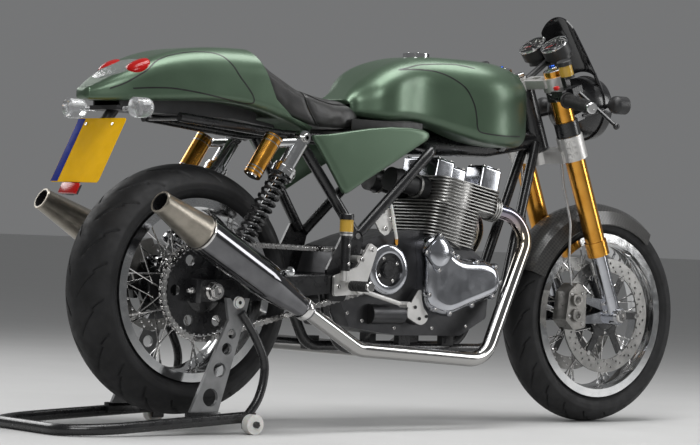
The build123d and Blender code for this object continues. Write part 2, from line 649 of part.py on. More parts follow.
def top_end(others):
    """Finned barrels and head with exhaust stubs, and the rocker boxes."""
    shape = None
    # low edge, fin count, fin length, fin middle, core radius
    for low, count, long, mid, core_r in ((0, BARREL_FINS, 176, -3, 58), (BARREL_H, HEAD_FINS, 212, 34, 64)):
        height = count * FIN_PITCH
        core = Pos(0, 0, low) * Box(1.4 * core_r, 2 * BORE_Y, height, align=UP)
        for side in (-1, 1):
            core = core + Pos(0, side * BORE_Y, low) * Cylinder(core_r, height, align=UP)
        fin = Pos(mid, 0, low) * extrude(RectangleRounded(long, 2 * FIN_HALF_Y, 40), FIN_T)
        core = core.fuse(*[Pos(0, 0, k * FIN_PITCH + FIN_PITCH - FIN_T) * fin for k in range(count)])
        shape = core if shape is None else shape + core
    for side in (-1, 1):
        shape = shape + rod((50, side * PORT_Y, BARREL_H + 28), (PORT_X, side * PORT_Y, BARREL_H + 28), 29)
    boxes = []
    # middle x, middle y, length, width, height
    for x, y, length, width, height in ((98, 72, 72, 76, 60), (98, -72, 72, 76, 60), (-36, 0, 66, 150, 50)):
        box = Pos(x, y, HEAD_TOP + SEAT_GAP) * Box(length, width, height, align=UP)
        box = fillet(box.edges().filter_by(Axis.Z), 12)
        boxes.append(BARREL * fillet(box.faces().sort_by(Axis.Z)[-1].edges(), 8))
    return (BARREL * shape).cut(*others), bundle(boxes)


def throttle_bodies():
    """Two throttle bodies with rubber stubs behind the head."""
    profile = [(0, 0), (30, 0), (30, 27), (26, 30), (26, 86), (32, 90), (32, 124), (0, 124)]
    body = revolve(Plane.XZ * make_face(Polyline(*profile, close=True)), axis=Axis.Z)
    rear = Plane((-72 - SEAT_GAP, 44, BARREL_H + 32), z_dir=(-1, 0, 0))
    return BARREL * pair(rear * body)


def exhaust():
    """Header and megaphone silencer of one side, right first."""
    tip = Vector(*MUFFLER_TIP)
    front = Vector(*MUFFLER_FRONT)
    along = (front - tip).normalized()
    length = (front - tip).length
    port = BARREL.from_local_coords(Vector(PORT_X - 10, -PORT_Y, BARREL_H + 28))
    stub = Box(60, 90, 90, align=(Align.MAX, Align.CENTER, Align.CENTER))
    stub = BARREL * (Pos(PORT_X + SEAT_GAP, -PORT_Y, BARREL_H + 28) * stub)
    turn = front + along * 205
    end = front - along * 25
    header = pipe([tuple(port), HEADER_BEND, HEADER_LOW, tuple(turn), tuple(end)], PIPE_R, HEADER_RADII) - stub
    profile = [(0, 0), (TIP_R, 0), (MUFFLER_R - 4, 150), (MUFFLER_R, 152), (MUFFLER_R - 2, 400),
               (PIPE_R + 6, length - 30), (PIPE_R + 6, length), (0, length)]
    can = revolve(Plane.XZ * make_face(Polyline(*profile, close=True)), axis=Axis.Z)
    can = can - Cylinder(TIP_R - 3, 80, align=UP)
    can = can - Pos(0, 0, length - 30) * Cylinder(PIPE_R + CLAMP_FIT, 60, align=UP)
    return {"exhaust_headers": pair(header), "mufflers": pair(Plane(tip, z_dir=along) * can)}


def bodywork():
    """Tank with its cap, tail cowl and seat pad."""
    # x, low, high, half width, top corner, low corner
    tank = body_from([
        (476, 806, 858, 70, 24, 20),
        (540, 806, 918, 104, 60, 24),
        (660, 806, 972, 114, 76, 26),
        (768, 790, 983, 122, 82, 26),
        (846, 768, 982, 152, 92, 30),
        (980, 752, 974, 150, 90, 30),
        (1046, 756, 957, 116, 70, 30),
        (1090, 772, 932, 74, 44, 28),
        (1118, 792, 896, 36, 22, 20),
    ])
    tank = tank - Pos(800, 0, 756) * Box(800, 82, 112)
    tank = tank - FORK * (Pos(-FORK_OFFSET, 0, 0) * Cylinder(HEAD_TUBE_R + 8, 2 * OUTER_TUBE_TOP))
    cap = Pos(752, 0, 974) * Cylinder(36, 18, align=UP) - tank
    cowl = body_from([
        (-304, 812, 842, 30, 12, 10),
        (-220, 812, 892, 82, 34, 16),
        (-70, 820, 948, 116, 60, 20),
        (90, 818, 962, 124, 70, 22),
        (230, 790, 950, 122, 70, 22),
        (322, 764, 880, 114, 60, 18),
    ])
    edge = [(131, 963), (150, 930), (196, 838), (250, 796), (330, 772)]
    cowl = cowl - slab([(112, 995), *edge, (330, 1100), (112, 1100)], -200, 200)
    upper = [(440, 770), (496, 788), (506, 818), (470, 842), (365, 852), (284, 866), (204, 912), (142, 962)]
    pad = slab([*[(x + 0.4, z + 0.2) for x, z in edge], *upper], -118, 118)
    lane = body_from([
        (100, 750, 1000, 96, 40, 20), (220, 750, 920, 108, 36, 20),
        (360, 750, 860, 112, 30, 20), (510, 750, 850, 88, 26, 20),
    ])
    return {"fuel_tank": tank, "filler_cap": cap, "tail_cowl": cowl, "seat_pad": (pad & lane) - tank}


def tail_pieces(cowl):
    """Undertray with the plate bracket, blank plate, tail lamp and indicators."""
    tray = [(-246, 800), (-200, 797), (120, 795), (236, 776), (240, 768), (110, 785), (-200, 787), (-246, 790)]
    tray = slab(tray, -60, 60)
    for side in (-1, 1):
        wall = [(-236, 794), (-236, 826), (150, 826), (180, 806), (180, 784), (100, 792)]
        tray = tray + slab(wall, side * 57 - 3, side * 57 + 3)
    place = Pos(PLATE_AT[0], 0, PLATE_AT[1]) * Rot(0, PLATE_TILT, 0)
    plate = place * extrude(Plane.YZ * RectangleRounded(*PLATE_SIZE, 8), PLATE_T)
    tray = tray + place * Pos(PLATE_T + SEAT_GAP + 3, 0, 8) * Box(6, 160, 150)
    behind = Box(60, *PLATE_SIZE, align=(Align.MAX, Align.CENTER, Align.CENTER))
    tray = tray + (rod((-246, 0, 752), (-214, 0, 792), 14) - place * (Pos(PLATE_T + SEAT_GAP, 0, 0) * behind))
    tray = tray + place * Pos(PLATE_T + SEAT_GAP + 3, 0, -90) * Box(6, 30, 64)
    tray = tray + place * Pos(0, 0, -108) * Box(12, 70, 26)
    lamp = Pos(-186, 0, 905) * Rot(0, -22, 0) * Pos(0, 0, -12) * extrude(Ellipse(66, 36), 24)
    return {
        "undertray": tray - cowl,
        "number_plate": plate,
        "tail_lamp": lamp - cowl,
        "rear_indicators": pair(indicator(-228, 146, 794, -1, -224, 60.4)),
    }


def side_panels(spine):
    """Triangular panels, pegged to the seat rails."""
    inner = STAY_Y + TUBE_R + SEAT_GAP
    panel = slab([(303, 752), (684, 782), (690, 762), (414, 606)], inner, inner + 14, 6)
    panel = fillet(panel.faces().sort_by(Axis.Y)[-1].edges(), 4)
    return pair(panel + cross_rod(345, 743, 80, inner + 1, 5) - spine)


def swingarm():
    """Box-section arms with a pivot tube, shock lugs and stand bobbins."""
    z = REAR_AXLE_Z
    side = slab([(-46, z - 26), (-46, z + 26), (60, z + 30), (PIVOT[0] + 24, PIVOT[1] + 22),
                 (PIVOT[0] + 24, PIVOT[1] - 22), (60, z - 28)], ARM_IN, ARM_OUT, 8)
    eye_in = SHOCK_Y - EYE_HALF - SEAT_GAP
    lug_top = SHOCK_LOW[1] + 14
    side = side + slab([(16, z + 16), (30, lug_top), (66, lug_top), (96, z + 16)], ARM_IN, eye_in, 4)
    side = side + cross_rod(*SHOCK_LOW, ARM_IN, SHOCK_Y + EYE_HALF + 6, SHOCK_STUD_R)
    side = side + cross_rod(*BOBBIN, ARM_IN + 4, HOOK_OUT + 8, BOBBIN_R)
    side = side + cross_rod(*BOBBIN, HOOK_OUT + 2, HOOK_OUT + 9, BOBBIN_R + 6)
    whole = side + mirror(side, about=Plane.XZ) + cross_rod(*PIVOT, -ARM_IN - 5, ARM_IN + 5, PIVOT_R)
    return whole - cross_rod(0, z, -300, 300, AXLE_R + CLAMP_FIT)


def rear_axle():
    axle = cross_rod(0, 0, -ARM_OUT - 18, ARM_OUT + 18, AXLE_R)
    for side in (-1, 1):
        nut = side * (ARM_OUT + 9 + SEAT_GAP)
        axle = axle + ring(nut - 9, nut + 9, AXLE_R - 1, 20)
        mid = side * (REAR_HUB_HALF + ARM_IN) / 2
        reach = (ARM_IN - REAR_HUB_HALF) / 2 - SEAT_GAP
        axle = axle + ring(mid - reach, mid + reach, AXLE_R - 1, 17)
    return REAR_AXLE * (axle - cross_rod(0, 0, -300, 300, AXLE_BORE_R))


def rear_caliper():
    """Two-piston caliper on the left arm."""
    body = slab([(-104, 56), (-74, 112), (-22, 126), (-6, 92), (-40, 78), (-70, 42)], 90, 120, 6)
    body = body - ring(REAR_DISC_Y - 8, REAR_DISC_Y + 8, 20, REAR_DISC_R + 8)
    body = body + slab([(-44, -8), (-16, -8), (-22, 100), (-80, 90)], 116, ARM_IN - SEAT_GAP, 4)
    return REAR_AXLE * (body - cross_rod(0, 0, 0, 300, 30))


def shocks():
    """Dampers with remote reservoirs, and coil springs."""
    top = Vector(SHOCK_TOP[0], SHOCK_Y, SHOCK_TOP[1])
    low = Vector(SHOCK_LOW[0], SHOCK_Y, SHOCK_LOW[1])
    along = (top - low).normalized()
    total = (top - low).length
    low_cup = 70.0
    high_cup = total - 118.0

    def piece(start, end, radius):
        return rod(tuple(low + along * start), tuple(low + along * end), radius)

    body = piece(0, low_cup - 8, EYE_HALF - 1) + piece(low_cup - 10, low_cup, 31)
    body = body + piece(low_cup - 2, high_cup + 2, 9)
    body = body + piece(high_cup, high_cup + 14, 31) + piece(high_cup + 12, total - 16, 22)
    eye_low = SHOCK_Y - EYE_HALF
    eye_high = SHOCK_Y + EYE_HALF
    body = body + cross_rod(*SHOCK_LOW, eye_low, eye_high, 15) + cross_rod(*SHOCK_TOP, eye_low, eye_high, 18)
    body = body + rod((top.X - 6, SHOCK_Y, top.Z - 12), (top.X - 86, SHOCK_Y + 2, top.Z - 18), 12)
    can_top = Vector(top.X - 92, SHOCK_Y + 2, top.Z - 2)
    can_low = can_top - along * 118
    body = body - rod(tuple(can_top + along * 20), tuple(can_low), 23 + SEAT_GAP)
    for at in (SHOCK_LOW, SHOCK_TOP):
        body = body - cross_rod(*at, eye_low - 40, eye_high + 40, SHOCK_STUD_R + CLAMP_FIT)
    pitch = (high_cup - low_cup - 2 * SPRING_WIRE_R - 2 * SEAT_GAP) / SPRING_TURNS
    helix = Helix(pitch, pitch * SPRING_TURNS, SPRING_R - SPRING_WIRE_R)
    wire = sweep(Plane(helix @ 0, z_dir=helix % 0) * Circle(SPRING_WIRE_R), path=helix, is_frenet=True)
    spring = Plane(low + along * (low_cup + SPRING_WIRE_R + SEAT_GAP), z_dir=along) * wire
    return {
        "shock_bodies": pair(body),
        "shock_reservoirs": pair(rod(tuple(can_top), tuple(can_low), 23)),
        "shock_springs": pair(spring),
    }


def chain():
    """Two rows of link plates wrapped round both sprockets."""
    big = pitch_r(REAR_TEETH)
    small = pitch_r(FRONT_TEETH)
    half = CHAIN_PLATE_H / 2
    band = wrap((0, REAR_AXLE_Z, big + half), (*OUTPUT_SHAFT, small + half))
    band = band - wrap((0, REAR_AXLE_Z, big - half), (*OUTPUT_SHAFT, small - half))
    rows = []
    for side in (-1, 1):
        y = CHAIN_Y + side * (CHAIN_GAP + CHAIN_PLATE_T) / 2
        rows.append(Pos(0, y + CHAIN_PLATE_T / 2, 0) * extrude(Plane.XZ * band, CHAIN_PLATE_T))
    return bundle(rows)


def rearsets():
    """Foot control plates with pegs, brake gear on the right and gear lever on the left."""
    inner = ARM_OUT + 4
    outer = inner + 8
    plate = slab([(372, 344), (470, 352), (512, 470), (486, 484), (446, 420), (372, 396)], inner, outer, 8)
    plate = plate + cross_rod(460, 440, PLATE_OUT + SEAT_GAP, inner + 1, 10)
    plate = plate + cross_rod(420, 372, outer - 1, outer + 84, 11)
    plate = plate + cross_rod(452, 362, outer - 1, outer + 10, 11)
    plate = plate + rod((452, outer + 6, 362), (590, outer + 12, 326), 6)
    lever = plate + cross_rod(588, 326.5, outer + 8, outer + 44, 8)
    pump = rod((400, outer + 7, 384), (400, outer + 7, 540), 11)
    pump = pump + rod((400, outer + 7, 500), (400, outer + 7, 556), 17)
    return bundle([lever, mirror(lever + pump, about=Plane.XZ)])


# Paddock stand
def paddock_stand():
    """Floor loop with roller pins, hooked uprights and two rollers."""
    bent = [(ROLLER_X + 12, STAND_Y, 42), (-340, STAND_Y + 12, 17), (-STAND_BACK, STAND_Y - 50, STAND_TUBE_R)]
    side = pipe([*bent, (-STAND_BACK, 0, STAND_TUBE_R)], STAND_TUBE_R, [200, 60])
    side = side + slab([(68, 52), (110, 52), (104, 12), (74, 12)], STAND_Y + 2, STAND_Y + 12)
    side = side + cross_rod(ROLLER_X, ROLLER_R, STAND_Y + 4, ROLLER_OUT + 4, ROLLER_PIN_R)
    loop = side + mirror(side, about=Plane.XZ)
    vee = BOBBIN[1] - (BOBBIN_R + SEAT_GAP) * math.sqrt(2)
    rise = 24.0
    x, top = BOBBIN[0], vee + rise
    hook = slab([(x - rise - 12, top), (x - rise, top), (x, vee), (x + rise, top), (x + rise + 12, top),
                 (x + 22, vee - 30), (8, 46), (-78, 46), (x - 26, vee - 30)], HOOK_IN, HOOK_OUT)
    # x, z and radius of the lightening holes
    for x, z, radius in ((38, 252, 8), (24, 206, 11), (6, 154, 15), (-16, 96, 19)):
        hook = hook - cross_rod(x, z, 0, 300, radius)
    strut = pipe([(64, HOOK_OUT + 6, 296), (146, HOOK_OUT + 10, 190), (128, STAND_Y, 88),
                  (ROLLER_X, STAND_Y, 42)], 11, [90, 60])
    foot = slab([(-84, 30), (14, 30), (10, 54), (-80, 54)], HOOK_IN, STAND_Y)
    upright = hook + strut + foot - loop
    roller = ring(ROLLER_IN, ROLLER_OUT, ROLLER_PIN_R + RUN_FIT, ROLLER_R)
    roller = Pos(ROLLER_X, 0, ROLLER_R) * roller
    return {
        "stand_loop": loop,
        "stand_uprights": pair(upright),
        "stand_roller_left": roller,
        "stand_roller_right": mirror(roller, about=Plane.XZ),
    }


def side_stand():
    """Folded prop on the left of the cradle."""
    pivot = Vector(*SIDE_PIVOT)
    axis = Vector(*SIDE_AXIS).normalized()
    back = Vector(-1, 0, 0.05).normalized()
    tip = pivot + back * SIDE_LEG
    leg = rod(tuple(pivot + axis * 6), tuple(pivot - axis * 6), 14)
    leg = leg + rod(tuple(pivot + back * 6), tuple(tip), 9)
    leg = leg + rod(tuple(tip + back * -8), tuple(tip + back * 6), 15)
    return leg - rod(tuple(pivot + axis * 60), tuple(pivot - axis * 60), SIDE_PIN_R + RUN_FIT)


def chassis():
    nodes = frame()
    case = crankcase()
    timing, primary = side_covers()
    nodes["crankcase"] = case
    nodes["timing_cover"] = timing
    nodes["primary_cover"] = primary
    nodes["cylinder_block"], nodes["rocker_boxes"] = top_end([case, timing, primary])
    nodes["throttle_bodies"] = throttle_bodies()
    nodes.update(exhaust())
    nodes.update(bodywork())
    nodes.update(tail_pieces(nodes["tail_cowl"]))
    nodes["side_panels"] = side_panels(nodes["frame_spine"])
    nodes["swingarm"] = swingarm()
    nodes["rear_axle"] = rear_axle()
    nodes["rear_caliper"] = rear_caliper()
    nodes.update(shocks())
    nodes["chain"] = chain()
    nodes["rearsets"] = rearsets()
    nodes.update(paddock_stand())
    nodes["side_stand"] = side_stand()
    return nodes


os.makedirs("parts", exist_ok=True)
for group in (front_wheel(), rear_wheel(), front_end(), chassis()):
    for name, shape in group.items():
        export_step(CENTRE_SHIFT * shape, f"parts/{name}.step")
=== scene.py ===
"""Looks of the cafe racer motorcycle and its paddock stand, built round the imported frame."""
import json
from math import asin, atan2, ceil, cos, pi, radians, sin
import bmesh
import bpy
from mathutils import Matrix, Vector
from mathutils.bvhtree import BVHTree


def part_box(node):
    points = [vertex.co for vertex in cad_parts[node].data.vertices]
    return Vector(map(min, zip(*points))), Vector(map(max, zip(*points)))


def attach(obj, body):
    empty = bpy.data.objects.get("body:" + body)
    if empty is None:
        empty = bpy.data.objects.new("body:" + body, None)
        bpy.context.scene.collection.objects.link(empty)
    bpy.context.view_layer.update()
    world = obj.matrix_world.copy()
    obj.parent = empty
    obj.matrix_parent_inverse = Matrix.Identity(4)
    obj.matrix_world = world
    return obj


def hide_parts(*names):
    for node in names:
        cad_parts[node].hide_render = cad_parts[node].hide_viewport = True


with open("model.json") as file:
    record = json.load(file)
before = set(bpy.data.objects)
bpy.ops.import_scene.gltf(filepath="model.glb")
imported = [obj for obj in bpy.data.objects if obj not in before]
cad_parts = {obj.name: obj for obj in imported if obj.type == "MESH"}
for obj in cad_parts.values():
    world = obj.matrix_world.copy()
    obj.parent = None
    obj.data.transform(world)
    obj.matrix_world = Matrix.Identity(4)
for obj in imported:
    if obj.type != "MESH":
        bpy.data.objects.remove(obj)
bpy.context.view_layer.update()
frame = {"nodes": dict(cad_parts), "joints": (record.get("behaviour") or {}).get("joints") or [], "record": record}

MM = 0.001
DOT = 0.05  # radius in millimetres that closes a turned shape at its axis
SIDES = (-1, 1)
AHEAD = Vector((1, 0, 0))
LEFT = Vector((0, 1, 0))
RIGHT = -LEFT
UP = Vector((0, 0, 1))

# Places from the frame
JOINTS = {joint["name"]: joint for joint in frame["joints"]}
REAR_AXLE = Vector(JOINTS["rear_wheel_spin"]["pos_m"])
FRONT_AXLE = Vector(JOINTS["front_wheel_spin"]["pos_m"])
FORK_UP = Vector(JOINTS["steering"]["axis"]).normalized()
FORK_AHEAD = Vector((FORK_UP.z, 0, -FORK_UP.x))
SLOT_OF = {part["node"]: part["material_slot"] for part in frame["record"]["subparts"]}

# The photograph's camera, in metres, degrees and millimetres
CAMERA_AT = Vector((-4.8135, -5.8876, 0.5302))
CAMERA_YAW = 51.27
CAMERA_PITCH = 0.03
CAMERA_ROLL = 2.14
CAMERA_LENS = 147.3
CAMERA_FILM = 36


def spot(x, y, z):
    """A place in millimetres: x ahead of the rear axle, y to the left, z above the floor."""
    return Vector((REAR_AXLE.x + x * MM, y * MM, z * MM))


def on_fork(x, y, s):
    """A place in millimetres along the fork: x ahead of the legs, y to the left, s up from the axle."""
    return FRONT_AXLE + (FORK_AHEAD * x + LEFT * y + FORK_UP * s) * MM


# Materials
class Surface:
    """A Principled material with its nodes at hand."""

    def __init__(self, name, **values):
        self.material = bpy.data.materials.new(name)
        self.material.use_nodes = True
        self.nodes = self.material.node_tree.nodes
        self.links = self.material.node_tree.links
        self.bsdf = self.nodes["Principled BSDF"]
        self.place = self.nodes.new("ShaderNodeTexCoord").outputs["Object"]
        self.fill(self.bsdf, values)

    def fill(self, node, values):
        """Sets sockets by name, with underscores for spaces."""
        for socket, value in values.items():
            node.inputs[socket.replace("_", " ")].default_value = value

    def add(self, kind, into, source, output, **values):
        """A new node fed by a source; gives its output."""
        node = self.nodes.new("ShaderNode" + kind)
        self.fill(node, values)
        self.links.new(source, node.inputs[into])
        return node.outputs[output]

    def stretched(self, scale):
        return self.add("Mapping", "Vector", self.place, "Vector", Scale=scale)

    def noise(self, scale, detail=4.0, place=None):
        return self.add("TexNoise", "Vector", place or self.place, "Fac", Scale=scale, Detail=detail)

    def cells(self, scale, feature="F1"):
        distance = self.add("TexVoronoi", "Vector", self.place, "Distance", Scale=scale)
        distance.node.feature = feature
        return distance

    def ramp(self, source, stops):
        colour = self.add("ValToRGB", "Fac", source, "Color")
        points = colour.node.color_ramp.elements
        while len(points) < len(stops):
            points.new(0.5)
        for point, (place, shade) in zip(points, stops):
            point.position = place
            point.color = (*shade, 1)
        return colour

    def spread(self, source, low, high, from_low=0.3, from_high=0.7):
        return self.add("MapRange", "Value", source, "Result",
                        From_Min=from_low, From_Max=from_high, To_Min=low, To_Max=high)

    def colour(self, source):
        self.links.new(source, self.bsdf.inputs["Base Color"])

    def roughness(self, source):
        self.links.new(source, self.bsdf.inputs["Roughness"])

    def bump(self, source, height, strength=1.0):
        normal = self.add("Bump", "Height", source, "Normal", Strength=strength, Distance=height)
        before = self.bsdf.inputs["Normal"].links
        if before:
            self.links.new(before[0].from_socket, normal.node.inputs["Normal"])
        self.links.new(normal, self.bsdf.inputs["Normal"])


def worn(name, dark, light, rough, scale, grain, height, stretch=None, **values):
    """A surface with cloudy colour, uneven gloss and a fine grain."""
    surface = Surface(name, **values)
    place = surface.stretched(stretch) if stretch else None
    surface.colour(surface.ramp(surface.noise(scale), [(0.35, dark), (0.65, light)]))
    surface.roughness(surface.spread(surface.noise(scale * 2.3, 6, place), *rough))
    surface.bump(surface.noise(grain, 3, place), height)
    return surface.material


def paint_green():
    surface = Surface("green_paint", Metallic=0.62, Coat_Weight=0.25, Coat_Roughness=0.22)
    flake = surface.cells(2600)
    surface.colour(surface.ramp(flake, [(0.0, (0.108, 0.168, 0.110)), (0.9, (0.070, 0.112, 0.073))]))
    surface.roughness(surface.spread(surface.noise(14, 5), 0.33, 0.42))
    surface.bump(surface.noise(900, 2), 0.000012)
    return surface.material


def carbon():
    surface = Surface("carbon_weave", Coat_Weight=0.4, Coat_Roughness=0.12)
    weave = surface.add("TexChecker", "Vector", surface.stretched((1.0, 0.6, 1.0)), "Color", Scale=170,
                        Color1=(0.012, 0.012, 0.012, 1), Color2=(0.045, 0.043, 0.04, 1))
    surface.colour(weave)
    strands = weave.node.outputs["Fac"]
    surface.roughness(surface.spread(strands, 0.28, 0.5, 0, 1))
    surface.bump(strands, 0.0001)
    return surface.material


def leather():
    surface = Surface("seat_leather", Coat_Weight=0.05)
    black = [(0.3, (0.012, 0.012, 0.012)), (0.7, (0.024, 0.023, 0.022))]
    surface.colour(surface.ramp(surface.noise(18, 5), black))
    surface.roughness(surface.spread(surface.noise(40, 5), 0.36, 0.52))
    surface.bump(surface.cells(520, "DISTANCE_TO_EDGE"), 0.0004, 0.4)
    surface.bump(surface.noise(60, 3), 0.0004, 0.25)
    return surface.material


def heat_tinted():
    """Polished steel with straw and blue bands where the pipes leave the ports."""
    surface = Surface("bright_steel_heat", Metallic=1.0)
    height = surface.add("SeparateXYZ", "Vector", surface.place, "Z")
    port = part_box("exhaust_headers")[1].z
    tint = surface.spread(height, 0, 1, port - 0.20, port)
    surface.colour(surface.ramp(tint, [
        (0.0, (0.38, 0.375, 0.365)), (0.55, (0.44, 0.38, 0.29)), (0.8, (0.34, 0.29, 0.33)),
        (1.0, (0.25, 0.30, 0.40)),
    ]))
    surface.roughness(surface.spread(surface.noise(60, 6), 0.07, 0.16))
    surface.bump(surface.noise(300, 3), 0.00002)
    return surface.material


def lens(name, colour, rough, **values):
    surface = Surface(name, Base_Color=(*colour, 1), IOR=1.49, **values)
    surface.roughness(surface.spread(surface.noise(80, 3), *rough))
    surface.bump(surface.cells(260), 0.0004, 0.5)
    return surface.material


BRUSHED = (4.0, 60.0, 60.0)
METAL = {"Metallic": 1.0}
# dark and light colour, roughness range, scale of clouds and grain, height of grain in metres, other values
WORN = {
    "tyre_rubber": ((0.008, 0.008, 0.0085), (0.015, 0.015, 0.016), (0.52, 0.72), 22, 700, 0.0001,
                    {"Specular_IOR_Level": 0.35}),
    "polished_alloy": ((0.56, 0.57, 0.58), (0.66, 0.66, 0.66), (0.07, 0.15), 25, 240, 0.00003, METAL),
    "cast_alloy": ((0.36, 0.355, 0.345), (0.50, 0.495, 0.48), (0.32, 0.46), 20, 900, 0.00012, METAL),
    "black_metal": ((0.007, 0.007, 0.008), (0.013, 0.013, 0.014), (0.22, 0.36), 25, 700, 0.00004,
                    {"Coat_Weight": 0.25}),
    "bright_steel": ((0.60, 0.59, 0.58), (0.70, 0.69, 0.68), (0.08, 0.18), 30, 400, 0.00002, METAL),
    "disc_steel": ((0.22, 0.218, 0.212), (0.31, 0.305, 0.295), (0.24, 0.38), 30, 500, 0.00004,
                   {"stretch": BRUSHED, **METAL}),
    "gold_anodised": ((0.60, 0.27, 0.035), (0.74, 0.36, 0.06), (0.16, 0.26), 25, 600, 0.00002,
                      {"Coat_Weight": 0.2, **METAL}),
    "black_plastic": ((0.009, 0.009, 0.010), (0.016, 0.016, 0.017), (0.40, 0.56), 30, 1500, 0.00008, {}),
    "screen_tint": ((0.012, 0.012, 0.013), (0.022, 0.022, 0.024), (0.05, 0.12), 20, 200, 0.00001,
                    {"Transmission_Weight": 0.25}),
    "plate_yellow": ((0.76, 0.42, 0.002), (0.82, 0.46, 0.004), (0.6, 0.72), 25, 1800, 0.00004,
                     {"Specular_IOR_Level": 0.05}),
    "stand_grey": ((0.20, 0.202, 0.205), (0.27, 0.272, 0.275), (0.34, 0.48), 25, 900, 0.0001,
                   {"Metallic": 0.5}),
    "white_nylon": ((0.66, 0.65, 0.62), (0.80, 0.79, 0.76), (0.35, 0.5), 40, 700, 0.0001,
                    {"Subsurface_Weight": 0.1}),
    "grip_rubber": ((0.012, 0.012, 0.012), (0.022, 0.022, 0.022), (0.5, 0.68), 30, 800, 0.0002, {}),
    "hose_braid": ((0.30, 0.30, 0.30), (0.62, 0.62, 0.62), (0.22, 0.4), 700, 2400, 0.0003, {"Metallic": 0.8}),
    "blue_strip": ((0.010, 0.022, 0.20), (0.014, 0.03, 0.25), (0.58, 0.7), 25, 1500, 0.00004,
                   {"Specular_IOR_Level": 0.15}),
    "dial_white": ((0.62, 0.62, 0.60), (0.74, 0.74, 0.72), (0.4, 0.55), 40, 900, 0.00002, {}),
    "pinstripe_black": ((0.006, 0.006, 0.006), (0.014, 0.014, 0.014), (0.3, 0.45), 40, 900, 0.00002, {}),
    "brushed_tip": ((0.25, 0.23, 0.195), (0.34, 0.31, 0.265), (0.28, 0.42), 30, 700, 0.00005,
                    {"stretch": BRUSHED, **METAL}),
    "engine_dark": ((0.060, 0.060, 0.063), (0.085, 0.085, 0.088), (0.28, 0.4), 18, 900, 0.00006,
                    {"Metallic": 0.9}),
    "satin_alloy": ((0.56, 0.555, 0.54), (0.66, 0.65, 0.635), (0.38, 0.5), 20, 900, 0.00008, {"Metallic": 0.8}),
    "case_polish": ((0.43, 0.44, 0.47), (0.50, 0.51, 0.54), (0.10, 0.18), 16, 240, 0.00002, METAL),
    "dark_chrome": ((0.13, 0.13, 0.137), (0.17, 0.17, 0.177), (0.04, 0.09), 20, 300, 0.00001, METAL),
    "caliper_grey": ((0.20, 0.195, 0.185), (0.30, 0.29, 0.275), (0.26, 0.4), 30, 900, 0.00008,
                     {"Metallic": 0.9}),
    "blue_anodised": ((0.02, 0.08, 0.42), (0.03, 0.11, 0.52), (0.18, 0.3), 40, 700, 0.00002, {"Metallic": 0.9}),
    "signal_red": ((0.52, 0.012, 0.010), (0.64, 0.02, 0.015), (0.3, 0.42), 40, 900, 0.00003, {}),
    "dial_black": ((0.008, 0.008, 0.008), (0.014, 0.014, 0.014), (0.4, 0.55), 40, 1200, 0.00002, {}),
    "thin_glass": ((0.97, 0.97, 0.97), (1.0, 1.0, 1.0), (0.0, 0.02), 20, 200, 0.000002,
                   {"Transmission_Weight": 1.0, "IOR": 1.08}),
}
MATERIALS = {
    **{name: worn(name, *row[:-1], **row[-1]) for name, row in WORN.items()},
    "green_paint": paint_green(),
    "carbon_weave": carbon(),
    "seat_leather": leather(),
    "heat_tinted": heat_tinted(),
    "clear_lens": lens("clear_lens", (0.95, 0.96, 0.97), (0.02, 0.07), Transmission_Weight=0.85),
    "red_lens": lens("red_lens", (0.50, 0.008, 0.006), (0.12, 0.2), Transmission_Weight=0.25,
                     Specular_IOR_Level=0.35),
    "fluid_amber": lens("fluid_amber", (0.80, 0.50, 0.08), (0.12, 0.22), Transmission_Weight=0.4),
}
# Nodes whose finish in the photograph differs from their slot's
FINISH_OF = {
    "yokes": "satin_alloy",
    "rear_hub": "black_metal",
    "front_hub": "black_metal",
    "rear_sprocket": "black_metal",
    "exhaust_headers": "heat_tinted",
    "crankcase": "engine_dark",
    "rocker_boxes": "case_polish",
    "primary_cover": "case_polish",
    "mufflers": "dark_chrome",
    "fork_lowers": "case_polish",
    "front_calipers": "caliper_grey",
    "rear_caliper": "caliper_grey",
    "rearsets": "satin_alloy",
}
WELD_GAP = 0.00002
SHARP_TURN = radians(32)


def dress_nodes():
    """Gives each solid its material, welded seams and smooth shading."""
    for name, node in frame["nodes"].items():
        node.data.materials.clear()
        node.data.materials.append(MATERIALS[FINISH_OF.get(name, SLOT_OF[name])])
        node.modifiers.new("weld", "WELD").merge_threshold = WELD_GAP
        node.data.polygons.foreach_set("use_smooth", [True] * len(node.data.polygons))
        node.modifiers.new("split", "EDGE_SPLIT").split_angle = SHARP_TURN


# Mesh making
def turns(count, start=0.0):
    """Angles of equal steps once round."""
    return [2 * pi * k / count + start for k in range(count)]


def circle(radius, count, x=0.0, y=0.0):
    """Closed outline of a circle in millimetres."""
    return [(x + radius * cos(a), y + radius * sin(a)) for a in turns(count)]


def polar(hub, radius, turn, y=0.0):
    """A place round a hub that lies across the machine, in millimetres."""
    return hub + Vector((radius * cos(turn), y, radius * sin(turn))) * MM


def smooth_path(points, steps=8):
    """Points along a smooth line through the given ones."""
    ends = [points[0] * 2 - points[1], *points, points[-1] * 2 - points[-2]]
    line = []
    for a, b, c, d in zip(ends, ends[1:], ends[2:], ends[3:]):
        for k in range(steps):
            t = k / steps
            line.append(0.5 * (2 * b + (c - a) * t + (2 * a - 5 * b + 4 * c - d) * t * t
                               + (3 * b - a - 3 * c + d) * t ** 3))
    return [*line, points[-1].copy()]


def rounded(corners, steps=6):
    """Smooth closed outline through (x, z) corners, as flat vectors."""
    points = [Vector((x, z, 0)) for x, z in corners]
    start = 2 * steps
    return smooth_path([*points[-2:], *points, *points[:2]], steps)[start:start + steps * len(points)]


